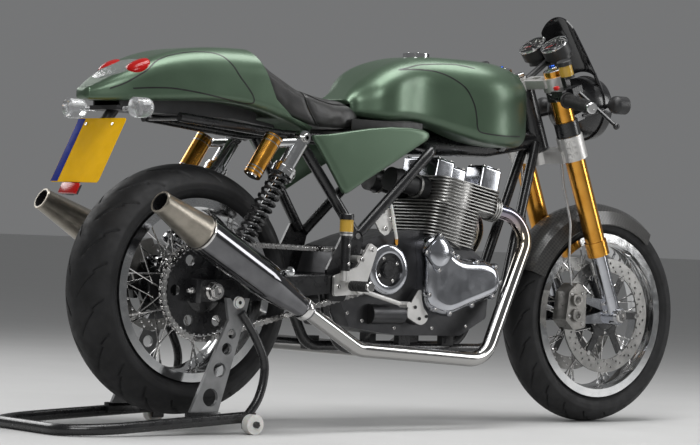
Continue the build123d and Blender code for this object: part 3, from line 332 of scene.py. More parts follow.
class Build:
    """Gathers turned, swept and flat shapes into one mesh; sizes are in millimetres."""

    def __init__(self):
        self.verts = []
        self.faces = []

    def add(self, verts, faces):
        start = len(self.verts)
        self.verts.extend(verts)
        self.faces.extend([tuple(start + i for i in face) for face in faces])

    def rings(self, loops, closed=False):
        """Skin over loops of equal count, capped unless it closes on itself."""
        count = len(loops[0])
        faces = []
        for row in range(len(loops) if closed else len(loops) - 1):
            a = row * count
            b = (row + 1) % len(loops) * count
            faces.extend([(a + k, a + (k + 1) % count, b + (k + 1) % count, b + k) for k in range(count)])
        if not closed:
            last = (len(loops) - 1) * count
            faces.append(tuple(range(count - 1, -1, -1)))
            faces.append(tuple(range(last, last + count)))
        self.add([v for loop in loops for v in loop], faces)

    def turned(self, origin, axis, profile, segments, closed=False):
        """Body of revolution from (along, radius) places."""
        axis = axis.normalized()
        side = axis.orthogonal().normalized()
        other = axis.cross(side)
        self.rings([[origin + (axis * along + (side * cos(a) + other * sin(a)) * radius) * MM
                     for a in turns(segments)] for along, radius in profile], closed)

    def drum(self, origin, axis, low, high, radius, segments):
        """Plain cylinder between two places on an axis."""
        self.turned(origin, axis, [(low, DOT), (low, radius), (high, radius), (high, DOT)], segments)

    def collar(self, origin, axis, low, high, inner, outer, segments):
        """Plain ring between two places on an axis."""
        self.turned(origin, axis, [(low, inner), (low, outer), (high, outer), (high, inner)], segments, True)

    def stud(self, origin, axis, low, high, radius, segments, rise=1.0, inset=1.0):
        """Round or six-sided head with a chamfer round its top."""
        self.turned(origin, axis, [(low, radius), (high - rise, radius), (high, radius - inset), (high, DOT)],
                    segments)

    def swept(self, points, radius, sides=10):
        """Round bar along points."""
        side = None
        loops = []
        for k, point in enumerate(points):
            along = (points[min(k + 1, len(points) - 1)] - points[max(k - 1, 0)]).normalized()
            side = along.orthogonal() if side is None else side - along * side.dot(along)
            side = side.normalized()
            other = along.cross(side)
            loops.append([point + (side * cos(a) + other * sin(a)) * radius * MM for a in turns(sides)])
        self.rings(loops)

    def block(self, centre, size, axes=None, soft=1.5):
        """Box with softened edges, measured along the given axes."""
        shape = bmesh.new()
        bmesh.ops.create_cube(shape, size=1)
        bmesh.ops.scale(shape, vec=Vector(size) * MM, verts=shape.verts)
        bmesh.ops.bevel(shape, geom=shape.edges, offset=soft * MM, segments=2, profile=0.5, affect="EDGES")
        turn = Matrix(axes).transposed() if axes else Matrix.Identity(3)
        shape.verts.index_update()
        self.add([centre + turn @ v.co for v in shape.verts],
                 [tuple(v.index for v in f.verts) for f in shape.faces])
        shape.free()

    def flat(self, curve, origin, across, up, scale):
        """Filled curve laid on a plane, and then thrown away."""
        holder = bpy.data.objects.new("outline", curve)
        mesh = bpy.data.meshes.new_from_object(holder)
        out = across.cross(up)
        self.add([origin + (across * v.co.x + up * v.co.y + out * v.co.z) * scale for v in mesh.vertices],
                 [tuple(p.vertices) for p in mesh.polygons])
        bpy.data.objects.remove(holder)
        bpy.data.curves.remove(curve)
        bpy.data.meshes.remove(mesh)

    def plate(self, outlines, origin, thickness):
        """Upright plate along the machine from closed outlines; outlines inside another are holes."""
        curve = bpy.data.curves.new("outline", "CURVE")
        curve.dimensions = "2D"
        curve.fill_mode = "BOTH"
        curve.extrude = thickness / 2
        for outline in outlines:
            spline = curve.splines.new("POLY")
            spline.points.add(len(outline) - 1)
            spline.points.foreach_set("co", [c for x, y in outline for c in (x, y, 0, 1)])
            spline.use_cyclic_u = True
        self.flat(curve, origin, AHEAD, UP, MM)

    def figures(self, text, centre, across, up, size):
        """Plain figures laid on a dial."""
        curve = bpy.data.curves.new("figures", "FONT")
        curve.body = text
        curve.size = size * MM
        curve.extrude = 0.15 * MM
        curve.align_x = "CENTER"
        curve.align_y = "CENTER"
        self.flat(curve, centre, across, up, 1)

    def screw(self, place, out, radius, height):
        """Socket-head screw standing on a face."""
        socket = 0.52 * radius
        self.turned(place, out, [(-1, radius), (height - 0.8, radius), (height, radius - 0.8), (height, socket),
                                 (height - 2.2, socket * 0.9), (height - 2.2, DOT)], 16)

    def piece(self, name, body, finish, replaced=None, crease=35.0):
        """Makes the gathered mesh a piece that rides on a body."""
        mesh = bpy.data.meshes.new(name)
        mesh.from_pydata(self.verts, [], self.faces)
        shape = bmesh.new()
        shape.from_mesh(mesh)
        bmesh.ops.remove_doubles(shape, verts=shape.verts, dist=0.000002)
        bmesh.ops.recalc_face_normals(shape, faces=shape.faces)
        shape.to_mesh(mesh)
        shape.free()
        mesh.polygons.foreach_set("use_smooth", [True] * len(mesh.polygons))
        mesh.set_sharp_from_angle(angle=radians(crease))
        mesh.materials.append(MATERIALS[finish])
        made = bpy.data.objects.new(name, mesh)
        bpy.context.scene.collection.objects.link(made)
        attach(made, body)
        if replaced:
            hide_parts(replaced)


def pieces(body, **looks):
    """Hands a function a build for each named piece, and makes the pieces when it is done.

    A look is a finish, or a finish with the node that the piece replaces and its crease angle.
    """
    def wrap(work):
        def run():
            gathered = [Build() for _ in looks]
            work(*gathered)
            for build, (name, look) in zip(gathered, looks.items()):
                build.piece(name, body, *([look] if isinstance(look, str) else look))
        return run
    return wrap


def search(mesh, place):
    """Search tree over a mesh, for laying trim on it."""
    return BVHTree.FromPolygons([place @ v.co for v in mesh.vertices],
                                [tuple(p.vertices) for p in mesh.polygons])


def solid(name):
    node = frame["nodes"][name]
    return search(node.data, node.matrix_world)


# Wheels
RIM_FLANGE_R = 230.0
RIM_WELL_R = 199.0
RIM_WALL = 7.3
WALL_STEPS = 14
WALL_RIDGES = (4, 5, 9)
RIDGE_HEIGHT = 0.9
TREAD_STEPS = 64
TURN_STEPS = 720
GROOVE_DEPTH = 4.5
GROOVE_TURN = 4.2 / 300  # half a groove's width over the tread's radius
GROOVES = ((0.12, 0.62, 0.0), (0.46, 0.88, 0.5))  # start and end over the half width, lead in pitches
SPOKES_PER_SIDE = 18
SPOKE_SWEEP = radians(34)
# half distance of the flanges, their radius, (lateral, radius) profile of the hub
FRONT_HUB = (32, 50, [
    (-74, 13), (-74, 34), (-71, 39), (-57, 39), (-55, 29), (-36, 28), (-36, 50), (-28, 50), (-26, 28), (0, 25),
    (26, 28), (28, 50), (36, 50), (36, 28), (55, 29), (57, 39), (71, 39), (74, 34), (74, 13),
])
REAR_HUB = (44, 58, [
    (-114, 13), (-114, 30), (-109, 55), (-103, 55), (-103, 70), (-90, 70), (-86, 36), (-48, 34), (-48, 58),
    (-40, 58), (-38, 34), (0, 31), (38, 34), (40, 58), (48, 58), (48, 36), (86, 36), (88, 55), (101, 55),
    (101, 39), (106, 39), (114, 30), (114, 13),
])


def tyre_profile(radius, half, bead):
    """Outer section of a tyre as (lateral, radius, tread share) from the right bead to the left one."""
    sag = 0.46 * half + 6
    crown = (half * half + sag * sag) / (2 * sag)
    widest = asin(half / crown)
    shoulder = radius - sag
    waist = RIM_FLANGE_R + 3
    bulge = (half - 3, (shoulder + waist) / 2 - 2)
    bend = (2 * bulge[0] - (half + bead) / 2, 2 * bulge[1] - (shoulder + waist) / 2)
    wall = []
    for k in range(WALL_STEPS + 1):
        t = k / WALL_STEPS
        y = (1 - t) ** 2 * bead + 2 * t * (1 - t) * bend[0] + t * t * half
        r = (1 - t) ** 2 * waist + 2 * t * (1 - t) * bend[1] + t * t * shoulder
        wall.append((y + (RIDGE_HEIGHT if k in WALL_RIDGES else 0.0), r, None))
    tread = []
    for k in range(1, TREAD_STEPS):
        a = (2 * k / TREAD_STEPS - 1) * widest
        tread.append((crown * sin(a), radius - crown * (1 - cos(a)), a / widest))
    inner = [(bead - 2, waist - 4, None), (bead - 6, waist - 12, None)]
    right = [(-y, r, t) for y, r, t in [*reversed(inner), *wall]]
    return [*right, *tread, *reversed(wall), *inner]


def groove_depth(turn, share, count):
    """Depth of the swept grooves at a turn of the wheel and a share of the tread's half width."""
    reach = abs(share)
    pitch = 2 * pi / count
    shift = 0.0 if share > 0 else 0.5 * pitch
    deep = 0.0
    for start, end, lead in GROOVES:
        if not start < reach < end:
            continue
        line = (0.95 * reach - 0.42 * reach * reach + lead) * pitch * 2.2 + shift
        gap = abs((turn - line + pitch / 2) % pitch - pitch / 2)
        taper = min(1.0, (reach - start) / 0.06, (end - reach) / 0.06)
        width = GROOVE_TURN * (0.55 + 0.45 * taper)
        deep = max(deep, GROOVE_DEPTH * taper * max(0.0, min(1.0, 2.2 * (1 - gap / width))))
    return deep


def half_size(low, high):
    """Half of a box's size across the machine and upwards, in millimetres."""
    return (high.y - low.y) / 2 / MM, (high.z - low.z) / 2 / MM


def tyre(wheel, axle, count):
    """Tyre with swept road grooves in the place of its solid."""
    half, radius = half_size(*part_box(wheel + "_tyre"))
    bead = half_size(*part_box(wheel + "_rim"))[0] - RIM_WALL
    loops = []
    for y, r, share in tyre_profile(radius, half, bead):
        loop = []
        for a in turns(TURN_STEPS):
            deep = groove_depth(a, share, count) if share is not None else 0.0
            loop.append(axle + Vector(((r - deep) * sin(a), y, (r - deep) * cos(a))) * MM)
        loops.append(loop)
    build = Build()
    build.rings(loops, True)
    build.piece(wheel + "_tyre_treaded", wheel + "_wheel", "tyre_rubber", wheel + "_tyre", 50)


def wheel_centre(wheel, axle, flange_y, flange_r, profile):
    """Turned black hub laced to the rim with crossed spokes and nipples."""
    hub, spokes, nipples = Build(), Build(), Build()
    hub.turned(axle, LEFT, profile, 72, True)
    for side in SIDES:
        for k, foot in enumerate(turns(SPOKES_PER_SIDE, radians(5) * side)):
            way = 1 if k % 2 else -1
            start = polar(axle, flange_r - 5, foot, side * flange_y + 3 * way)
            end = polar(axle, RIM_WELL_R + 1, foot + SPOKE_SWEEP * way, side * 9)
            spokes.swept([start, start.lerp(end, 0.5), end], 2.0, 8)
            spokes.turned(start, LEFT * way, [(-2, 3.6), (1.5, 3.6), (2.6, 2.0), (2.6, DOT)], 10)
            nipples.turned(end, start - end, [(-3, 3.4), (15, 3.2), (17, 2.2), (17, DOT)], 8)
    hub.piece(wheel + "_hub_turned", wheel + "_wheel", "black_metal", wheel + "_hub")
    spokes.piece(wheel + "_spokes", wheel + "_wheel", "bright_steel")
    nipples.piece(wheel + "_nipples", wheel + "_wheel", "polished_alloy")


def wheels():
    tyre("front", FRONT_AXLE, 22)
    tyre("rear", REAR_AXLE, 20)
    wheel_centre("front", FRONT_AXLE, *FRONT_HUB)
    wheel_centre("rear", REAR_AXLE, *REAR_HUB)


DISC_T = 5
DISC_BOSS_R = 40
DRILL_R = 3.6
DISC_ARMS = 6


def drilled_disc(ring, carrier, buttons, hub, radius, inner, rows):
    """Floating disc: ring drilled in rows of (radius, count, first turn), carrier, and buttons between them."""
    holes = [circle(DRILL_R, 12, r * cos(a), r * sin(a))
             for r, count, first in rows for a in turns(count, first)]
    ring.plate([circle(radius, 144), circle(inner + 4, 96), *holes], hub, DISC_T)
    arm = [(0.085, inner - 1), (0.16, DISC_BOSS_R + 22), (0.42, DISC_BOSS_R + 15)]
    arm = [*[(-turn, r) for turn, r in reversed(arm)], *arm]
    outline = [(r * cos(mid + turn), r * sin(mid + turn)) for mid in turns(DISC_ARMS) for turn, r in arm]
    carrier.plate([outline, circle(DISC_BOSS_R, 64)], hub, DISC_T)
    for a in turns(DISC_ARMS):
        buttons.turned(polar(hub, inner + 1, a), LEFT, [
            (-4.5, DOT), (-4.5, 6), (-3.8, 7), (3.8, 7), (4.5, 6), (4.5, DOT)], 20)
        for side in SIDES:
            buttons.screw(polar(hub, DISC_BOSS_R + 8, a + 0.5, side * DISC_T / 2), LEFT * side, 4.5, 3.5)


@pieces("front_wheel", front_disc_rings=("disc_steel", "front_discs"), front_disc_carriers="black_metal",
        front_disc_buttons="bright_steel")
def front_brake_discs(ring, carrier, buttons):
    for side in SIDES:
        drilled_disc(ring, carrier, buttons, FRONT_AXLE + LEFT * side * 68.5 * MM, 160, 119,
                     [(127, 24, 0.0), (137, 24, 0.09), (147, 24, 0.18)])


@pieces("rear_wheel", rear_disc_ring=("disc_steel", "rear_disc"), rear_disc_carrier="black_metal",
        rear_disc_buttons="bright_steel")
def rear_brake_disc(ring, carrier, buttons):
    drilled_disc(ring, carrier, buttons, REAR_AXLE + LEFT * 104 * MM, 110, 78,
                 [(87, 18, 0.0), (95, 18, 0.12), (103, 18, 0.24)])


# Final drive
CHAIN_PITCH = 15.875
CHAIN_Y = -106.0
REAR_TEETH = 48
FRONT_TEETH = 17
OUTPUT_SHAFT = (572.0, 415.0)
LINK_HALF = 6.9
LINK_WAIST = 4.6


def pitch_radius(teeth):
    return CHAIN_PITCH / (2 * sin(pi / teeth))


def chain_pins():
    """Pin places round both sprockets, one pitch apart, as (x, z) in millimetres."""
    big = pitch_radius(REAR_TEETH)
    small = pitch_radius(FRONT_TEETH)
    rear = Vector((0, REAR_AXLE.z / MM))
    front = Vector(OUTPUT_SHAFT)
    along = (front - rear).normalized()
    out = Vector((-along.y, along.x))
    apart = (front - rear).length
    lean = asin((big - small) / apart)
    over = out * cos(lean) + along * sin(lean)
    under = -out * cos(lean) + along * sin(lean)
    straight = apart * cos(lean)
    nose = (pi - 2 * lean) * small
    back = (pi + 2 * lean) * big
    # length of each stretch of the loop, and its pin at a share of that length
    stretches = (
        (straight, lambda t: (rear + over * big).lerp(front + over * small, t)),
        (nose, lambda t: front + Matrix.Rotation(-t * nose / small, 2) @ over * small),
        (straight, lambda t: (front + under * small).lerp(rear + under * big, t)),
        (back, lambda t: rear + Matrix.Rotation(-t * back / big, 2) @ under * big),
    )
    total = 2 * straight + back + nose
    count = round(total / CHAIN_PITCH / 2) * 2
    pins = []
    for k in range(count):
        s = total * k / count
        for length, pin in stretches:
            if s < length:
                pins.append(pin(s / length))
                break
            s -= length
    return pins


def link_outline(start, end):
    """Outline of a waisted link plate round two pins."""
    along = (end - start).normalized()
    out = Vector((-along.y, along.x))
    line = []
    for centre, way in ((end, 1), (start, -1)):
        for k in range(9):
            a = pi * k / 8 - pi / 2
            line.append(centre + (along * cos(a) + out * sin(a)) * LINK_HALF * way)
        line.append((start + end) / 2 + out * LINK_WAIST * way)
    return [tuple(p) for p in line]


@pieces("chassis", chain_links=("bright_steel", "chain"), chain_rollers="bright_steel")
def chain(links, rollers):
    pins = chain_pins()
    for k, pin in enumerate(pins):
        lateral = 5.4 if k % 2 else 7.6
        outline = link_outline(pin, pins[(k + 1) % len(pins)])
        for side in SIDES:
            links.plate([outline], spot(0, CHAIN_Y + side * lateral, 0), 1.8)
        centre = spot(pin.x, CHAIN_Y, pin.y)
        rollers.collar(centre, LEFT, -4.2, 4.2, 3, 5, 12)
        rollers.turned(centre, LEFT, [
            (-9.4, DOT), (-9.4, 2.2), (-8.8, 2.7), (8.8, 2.7), (9.4, 2.2), (9.4, DOT)], 10)


# Bodywork
TANK_LOOP = [(613, 939), (660, 943), (706, 944), (736, 942), (764, 934), (790, 920), (812, 902), (827, 879),
             (838, 853), (844, 824), (847, 800), (856, 788), (887, 783), (940, 781), (1014, 783)]
TANK_TOP = [(613, 939), (648, 947), (690, 957), (750, 963), (798, 965), (826, 962), (853, 957)]
COWL_LOOP = [(-216, 842), (-175, 846), (-123, 848), (-68, 844), (-10, 837), (54, 828), (102, 822), (123, 825),
             (123, 837), (110, 856), (77, 890), (55, 918), (33, 937), (3, 944), (-40, 943), (-81, 937),
             (-126, 925), (-156, 910), (-181, 889), (-205, 873), (-235, 854), (-267, 839)]
STRIPE_HALF = 1.8
STRIPE_LIFT = 0.45


def pinstripe(build, tree, line):
    """Thin ribbon laid on a body along (x, z) places, on both sides."""
    path = smooth_path([Vector((x, 0, z)) for x, z in line], 10)
    for side in SIDES:
        hits = []
        for point in path:
            place, normal, _, _ = tree.ray_cast(spot(point.x, side * 400, point.z), LEFT * -side)
            if place:
                hits.append((place, normal if normal.y * side > 0 else -normal))
        loops = []
        for k, (place, normal) in enumerate(hits):
            along = (hits[min(k + 1, len(hits) - 1)][0] - hits[max(k - 1, 0)][0]).normalized()
            out = along.cross(normal).normalized() * STRIPE_HALF * MM
            lift = normal * STRIPE_LIFT * MM
            loops.append([place - out - lift, place - out + lift, place + out + lift, place + out - lift])
        build.rings(loops)


@pieces("chassis", tank_pinstripes="pinstripe_black", cowl_pinstripes="pinstripe_black",
        filler_cap_rim="polished_alloy")
def stripes_and_cap(tank, cowl, cap):
    tree = solid("fuel_tank")
    pinstripe(tank, tree, TANK_LOOP)
    pinstripe(tank, tree, TANK_TOP)
    pinstripe(cowl, solid("tail_cowl"), COWL_LOOP)
    low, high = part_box("filler_cap")
    middle = (low + high) / 2
    top = Vector((middle.x, middle.y, high.z))
    radius = half_size(low, high)[0]
    cap.turned(top, UP, [
        (-3, radius - 3), (0.6, radius - 3), (1.2, radius - 5), (1.2, radius - 12), (0.2, radius - 13),
        (-3, radius - 13)], 64, True)
    cap.stud(top, UP, -1, 3, 9, 32, 0.6)
    for a in turns(6):
        cap.screw(top + Vector((cos(a), sin(a), 0)) * (radius - 8.5) * MM + UP * 0.9 * MM, UP, 3, 1.4)


PANEL_MIDDLE = Vector((490, 715))
PANEL_EDGE = [(303, 752), (350, 757), (420, 768), (490, 779), (560, 786), (630, 787), (672, 783), (688, 777),
              (691, 768), (684, 758), (640, 733), (560, 687), (480, 643), (436, 617), (420, 608), (409, 608),
              (402, 616), (370, 660), (334, 708), (306, 744)]
# share of the outline, place across the machine
PANEL_RIM = ((0.97, 132.5), (1.0, 134), (1.0, 139), (0.992, 142), (0.972, 144.6), (0.93, 146.2), (0.84, 147))


# The black sheets under the tank and seat are painted shade above the side panels.
@pieces("chassis", side_panels_soft=("green_paint", "side_panels", 60), seat_tray="dial_black")
def side_covers(panels, tray):
    """Green side panels with soft rims, and black sheets inside them whose tops show above the panels as painted
    shade under the tank and seat.
    """
    for side in SIDES:
        loops = []
        for share, y in PANEL_RIM:
            drawn = [PANEL_MIDDLE + (Vector(p) - PANEL_MIDDLE) * share for p in PANEL_EDGE]
            loops.append([spot(p.x, side * y, p.y) for p in drawn])
        panels.rings(loops)
        # Upright black walls and a black floor: painted shade where the tank and seat meet the panels.
        tray.block(spot(575, side * 104, 780), (240, 4, 44))
    tray.block(spot(570, 0, 770), (230, 206, 4))


SEAM_ACROSS = [(352, 109, 765), (334, 114, 790), (316, 108, 820), (305, 84, 848), (307, 52, 858),
               (318, 22, 864), (322, 0, 866)]
SEAM_ALONG = [(306, 66, 856), (350, 84, 846), (400, 86, 842), (446, 78, 840), (478, 58, 838)]
SEAM_REACH = 0.012
SEAM_DEPTH = 0.0032
SEAT_VOXEL = 0.005
SEAT_INSET = 0.004
SEAT_SWELL = 0.007
CLOTH_STEPS = 20


def soften(mesh, passes):
    """Evens a mesh out and brings its normals up to date."""
    shape = bmesh.new()
    shape.from_mesh(mesh)
    for _ in range(passes):
        bmesh.ops.smooth_vert(shape, verts=shape.verts, factor=0.5, use_axis_x=True, use_axis_y=True,
                              use_axis_z=True)
    shape.normal_update()
    shape.to_mesh(mesh)
    shape.free()


def evaluated(made):
    """A mesh of an object with its modifiers applied."""
    return bpy.data.meshes.new_from_object(made.evaluated_get(bpy.context.evaluated_depsgraph_get()))


def swollen(pad):
    """Blows the pad up with cloth pressure and keeps each point near where it started."""
    scene = bpy.context.scene
    start = [(v.co.copy(), v.normal.copy()) for v in pad.data.vertices]
    cloth = pad.modifiers.new("cloth", "CLOTH")
    cloth.settings.quality = 4
    cloth.settings.use_pressure = True
    cloth.settings.uniform_pressure_force = 4
    cloth.settings.effector_weights.gravity = 0
    cloth.point_cache.frame_start = 1
    cloth.point_cache.frame_end = CLOTH_STEPS
    for step in range(1, CLOTH_STEPS + 1):
        scene.frame_set(step)
    moved = evaluated(pad)
    ends = [v.co.copy() for v in moved.vertices]
    pad.modifiers.clear()
    scene.frame_set(1)
    bpy.data.meshes.remove(moved)
    for vertex, (before, normal), after in zip(pad.data.vertices, start, ends):
        shift = after - before
        if shift.length > SEAT_SWELL:
            shift = shift.normalized() * SEAT_SWELL
        vertex.co = before + (shift if normal.z > -0.6 else shift * 0.1)
    soften(pad.data, 16)


def seat_cushion():
    """Leather seat pad with a crowned top, sunk seams and piping."""
    source = frame["nodes"]["seat_pad"]
    mesh = source.data.copy()
    mesh.transform(source.matrix_world)
    pad = bpy.data.objects.new("seat_cushion", mesh)
    bpy.context.scene.collection.objects.link(pad)
    remesh = pad.modifiers.new("remesh", "REMESH")
    remesh.mode = "VOXEL"
    remesh.voxel_size = SEAT_VOXEL
    even = evaluated(pad)
    pad.modifiers.clear()
    pad.data = even
    soften(even, 24)
    for vertex in even.vertices:
        vertex.co -= vertex.normal * SEAT_INSET
    swollen(pad)
    tree = search(even, Matrix.Identity(4))
    lines = [[(x, -y, z) for x, y, z in SEAM_ACROSS[:-1]] + SEAM_ACROSS[::-1]]
    lines.extend([[(x, side * y, z) for x, y, z in SEAM_ALONG] for side in SIDES])
    piping = Build()
    sunk = []
    for line in lines:
        points = [tree.find_nearest(p)[:2] for p in smooth_path([spot(*p) for p in line], 10)]
        sunk.extend([place for place, _ in points])
        piping.swept([place - normal * 1.0 * MM for place, normal in points], 1.5, 8)
    for vertex in even.vertices:
        near = min((vertex.co - place).length for place in sunk)
        if near < SEAM_REACH:
            vertex.co -= vertex.normal * SEAM_DEPTH * (1 - near / SEAM_REACH) ** 2
    even.update()
    even.polygons.foreach_set("use_smooth", [True] * len(even.polygons))
    even.materials.clear()
    even.materials.append(MATERIALS["seat_leather"])
    finer = pad.modifiers.new("finer", "SUBSURF")
    finer.levels = 1
    finer.render_levels = 1
    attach(pad, "chassis")
    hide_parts("seat_pad")
    piping.piece("seat_piping", "chassis", "pinstripe_black")


# Dials, lamps, plate and controls
DIAL_OUT = Vector((-0.6157, 0, 0.788))
DIAL_UP = Vector((0.788, 0, 0.6157))
DIALS = ((1, 140, 20, 205), (-1, 8, 1, 215))  # side, highest figure, step, needle's turn in degrees
TICKS_PER_STEP = 4


@pieces("fork", dial_bezels="polished_alloy", dial_faces="dial_black", dial_marks="dial_white",
        dial_needles="signal_red", dial_glasses="thin_glass")
def dials(bezels, faces, marks, needles, glasses):
    def ray_at(degrees):
        return RIGHT * cos(radians(degrees)) + DIAL_UP * sin(radians(degrees))

    def bar(build, ray, height, reach, size, soft):
        axes = (ray, DIAL_OUT.cross(ray), DIAL_OUT)
        build.block(hub + (DIAL_OUT * height + ray * reach) * MM, size, axes, soft)

    for side, most, step, needle in DIALS:
        hub = spot(1222, side * 44, 1034)
        bezels.turned(hub, DIAL_OUT, [
            (15, 41.2), (17.5, 41.6), (19.6, 40.6), (20.3, 39), (19.4, 37.2), (15, 37)], 72, True)
        faces.drum(hub, DIAL_OUT, 13, 15.4, 36.4, 64)
        count = TICKS_PER_STEP * (most // step)
        for k in range(count + 1):
            ray = ray_at(225 - 270 * k / count)
            main = k % TICKS_PER_STEP == 0
            long, wide = (5.5, 1.1) if main else (3.0, 0.6)
            bar(marks, ray, 15.5, 34 - long / 2, (long, wide, 0.3), 0.05)
            if main:
                marks.figures(str(k // TICKS_PER_STEP * step), hub + (DIAL_OUT * 15.5 + ray * 23.5) * MM, RIGHT,
                              DIAL_UP, 6.5)
        bar(needles, ray_at(needle), 16.8, 11, (34, 1.5, 0.6), 0.2)
        faces.stud(hub, DIAL_OUT, 15, 18.6, 4.5, 24, 0.6)
        glasses.drum(hub, DIAL_OUT, 18.4, 18.8, 37.4, 48)


@pieces("fork", headlamp_ring="black_metal", headlamp_reflector="bright_steel",
        headlamp_glass=("clear_lens", "headlamp_lens"))
def front_lamp(ring, bowl, glass):
    hub = spot(1330, 0, 880)
    ring.turned(hub, AHEAD, [
        (52, 87), (66, 87.4), (72, 86), (74.5, 82.5), (73, 79), (66, 77.2), (58, 77.2), (54, 85)], 72, True)
    bowl.turned(hub, AHEAD, [
        (60.4, DOT), (60.4, 76), (69, 76), (64, 54), (61.5, 24), (61.5, 12), (69, 12), (73, 7),
        (73.5, DOT)], 64)
    glass.turned(hub, AHEAD, [(74.5, DOT), (72, 55), (68, 76), (70, 77), (75, 56), (78.5, 28), (79.5, DOT)], 72)


LENS_TURNS = 64
LENS_RINGS = 12
LENS_SINK = 0.8
LENS_DROP = 0.08


def laid_lens(build, tree, hub, out, half_long, half_wide, lift):
    """Domed oval lens lying on a body."""
    out = out.normalized()
    across = (LEFT - out * out.y).normalized()
    along = across.cross(out)
    loops = []
    for ring in range(LENS_RINGS + 1):
        share = 1 - 0.999 * ring / LENS_RINGS
        rise = out * (lift * (1 - share * share) ** 0.5 - LENS_SINK) * MM
        loop = []
        for a in turns(LENS_TURNS):
            place = hub + (along * half_long * cos(a) + across * half_wide * sin(a)) * share * MM
            loop.append((tree.ray_cast(place + out * LENS_DROP, -out)[0] or tree.find_nearest(place)[0]) + rise)
        loops.append(loop)
    build.rings(loops)


@pieces("chassis", tail_lamp_red=("red_lens", "tail_lamp", 60), tail_lamp_clear=("clear_lens", None, 60))
def rear_lamp(red, clear):
    """Two round red lamps beside a clear lens that lies on the tail."""
    tree = solid("tail_cowl")
    laid_lens(clear, tree, spot(-216, 0, 895), Vector((-0.48, 0, 0.88)), 60, 70, 3)
    for side in SIDES:
        laid_lens(red, tree, spot(-192, side * 65, 902), Vector((-0.45, side * 0.55, 0.7)), 33, 28, 9)


END_STEPS = 8
END_ROOM = 0.005
END_SLICE = 0.0003


def rounded_end(name, node, depth, beside=None):
    """Rounds off the flat rear end of a body, clear of the piece beside it."""
    dome = Build()
    node = frame["nodes"][node]
    near = solid(beside) if beside else None
    places = [node.matrix_world @ v.co for v in node.data.vertices]
    low = min(p.x for p in places)
    flat = [p for p in places if p.x < low + END_SLICE]
    mid = sum(flat, Vector()) / len(flat)
    rim = sorted({(round(atan2(p.z - mid.z, p.y - mid.y), 3), p.to_tuple(5)) for p in flat})
    loops = []
    for step in range(END_STEPS):
        a = pi / 2 * step / END_STEPS
        loop = []
        for _, p in rim:
            place = mid + (Vector(p) - mid) * cos(a)
            room = near.find_nearest(place)[3] - END_ROOM if near else depth
            loop.append(place - AHEAD * max(0.0, min(depth * sin(a), room)))
        loops.append(loop)
    dome.rings(loops)
    dome.piece(name, "chassis", "green_paint", None, 70)


@pieces("chassis", plate_strip="blue_strip", plate_screws="polished_alloy", rear_reflector="red_lens")
def plate_trim(strip, screws, reflector):
    hub = spot(-286, 0, 688)
    out = Vector((-0.8988, 0, 0.4384))
    up = Vector((0.4384, 0, 0.8988))
    axes = (out, LEFT, up)
    strip.block(hub + (out * 0.25 + LEFT * 88) * MM, (0.9, 31, 175), axes, 0.3)
    for y in (-58, 58):
        screws.screw(hub + (LEFT * y + up * 72) * MM, out, 4.5, 2.5)
    reflector.block(hub + (out * 3 - up * 108) * MM, (9, 72, 28), axes, 2)


LEG_Y = 105
LEG_TOP = 722


@pieces("fork", front_fluid_cups="fluid_amber", front_fluid_caps="black_plastic", grip_ribs="grip_rubber",
        bar_ends="polished_alloy", stop_switch="signal_red", fork_nuts="polished_alloy",
        fork_knobs="blue_anodised", clamp_bolts="satin_alloy")
def controls(cups, caps, grips, ends, switch, nuts, knobs, clamps):
    for side in SIDES:
        cup = on_fork(-10, side * 168, 704)
        cups.drum(cup, FORK_UP, 4, 36, 18.8, 32)
        caps.turned(cup, FORK_UP, [(35, DOT), (35, 20.5), (46, 20.5), (48, 18.5), (48, DOT)], 32)
        caps.drum(cup, FORK_UP, -2, 5, 19.6, 32)
        root = on_fork(-36, side * 128, 658)
        bar = on_fork(-97, side * 330, 644) - root
        length = bar.length / MM
        for k in range(26):
            at = 84 + 4.4 * k
            if at < length - 10:
                grips.collar(root, bar, at, at + 2.4, 16.5, 17.9, 32)
        ends.turned(root, bar, [
            (length - 6, DOT), (length - 6, 15.6), (length + 2, 15.6), (length + 5, 13), (length + 5, 5),
            (length + 3, 4.6), (length + 3, DOT)], 32)
        top = on_fork(0, side * LEG_Y, LEG_TOP)
        nuts.stud(top, FORK_UP, -1, 2.5, 26, 40, 1, 1.5)
        nuts.stud(top, FORK_UP, 2, 9, 15, 6)
        knobs.stud(top, FORK_UP, 8, 15, 8, 24)
        for s in (483, 500, 517):
            for a in (radians(32), radians(58)):
                out = LEFT * side * sin(a) - FORK_AHEAD * cos(a)
                clamps.block(on_fork(0, side * LEG_Y, s) + out * 37 * MM, (13, 6, 13),
                             (out.cross(FORK_UP), out, FORK_UP), 1)
    switch.block(on_fork(-62, -172, 690), (12, 14, 10), (FORK_AHEAD, LEFT, FORK_UP), 2)
    stem = on_fork(-32, 0, 714)
    nuts.turned(stem, FORK_UP, [(0, 21), (2, 21), (2, DOT)], 32)
    nuts.stud(stem, FORK_UP, 2, 12, 17, 6, 1, 1.5)


@pieces("fork", front_brake_bolts="bright_steel", front_brake_pots="caliper_grey")
def brakes(bolts, pots):
    for side in SIDES:
        out = LEFT * side
        caliper = FRONT_AXLE + out * 111 * MM
        for x, z in ((-126, -22), (-128, 62), (-176, 0), (-168, 60)):
            bolts.screw(caliper + Vector((x, 0, z)) * MM, out, 5, 4)
        for z in (2, 44):
            pots.turned(caliper + Vector((-150, 0, z)) * MM, out, [
                (6, DOT), (6, 18), (8, 17), (8, 11), (7, 10), (7, DOT)], 32)
        bolts.turned(FRONT_AXLE + out * 134.8 * MM, out, [
            (-1, 16.5), (3, 16.5), (4.5, 15), (4.5, 8.5), (1, 8), (1, DOT)], 6)
        for s in (22, 46):
            bolts.screw(on_fork(-24, side * LEG_Y, s), -FORK_AHEAD, 4.5, 4)


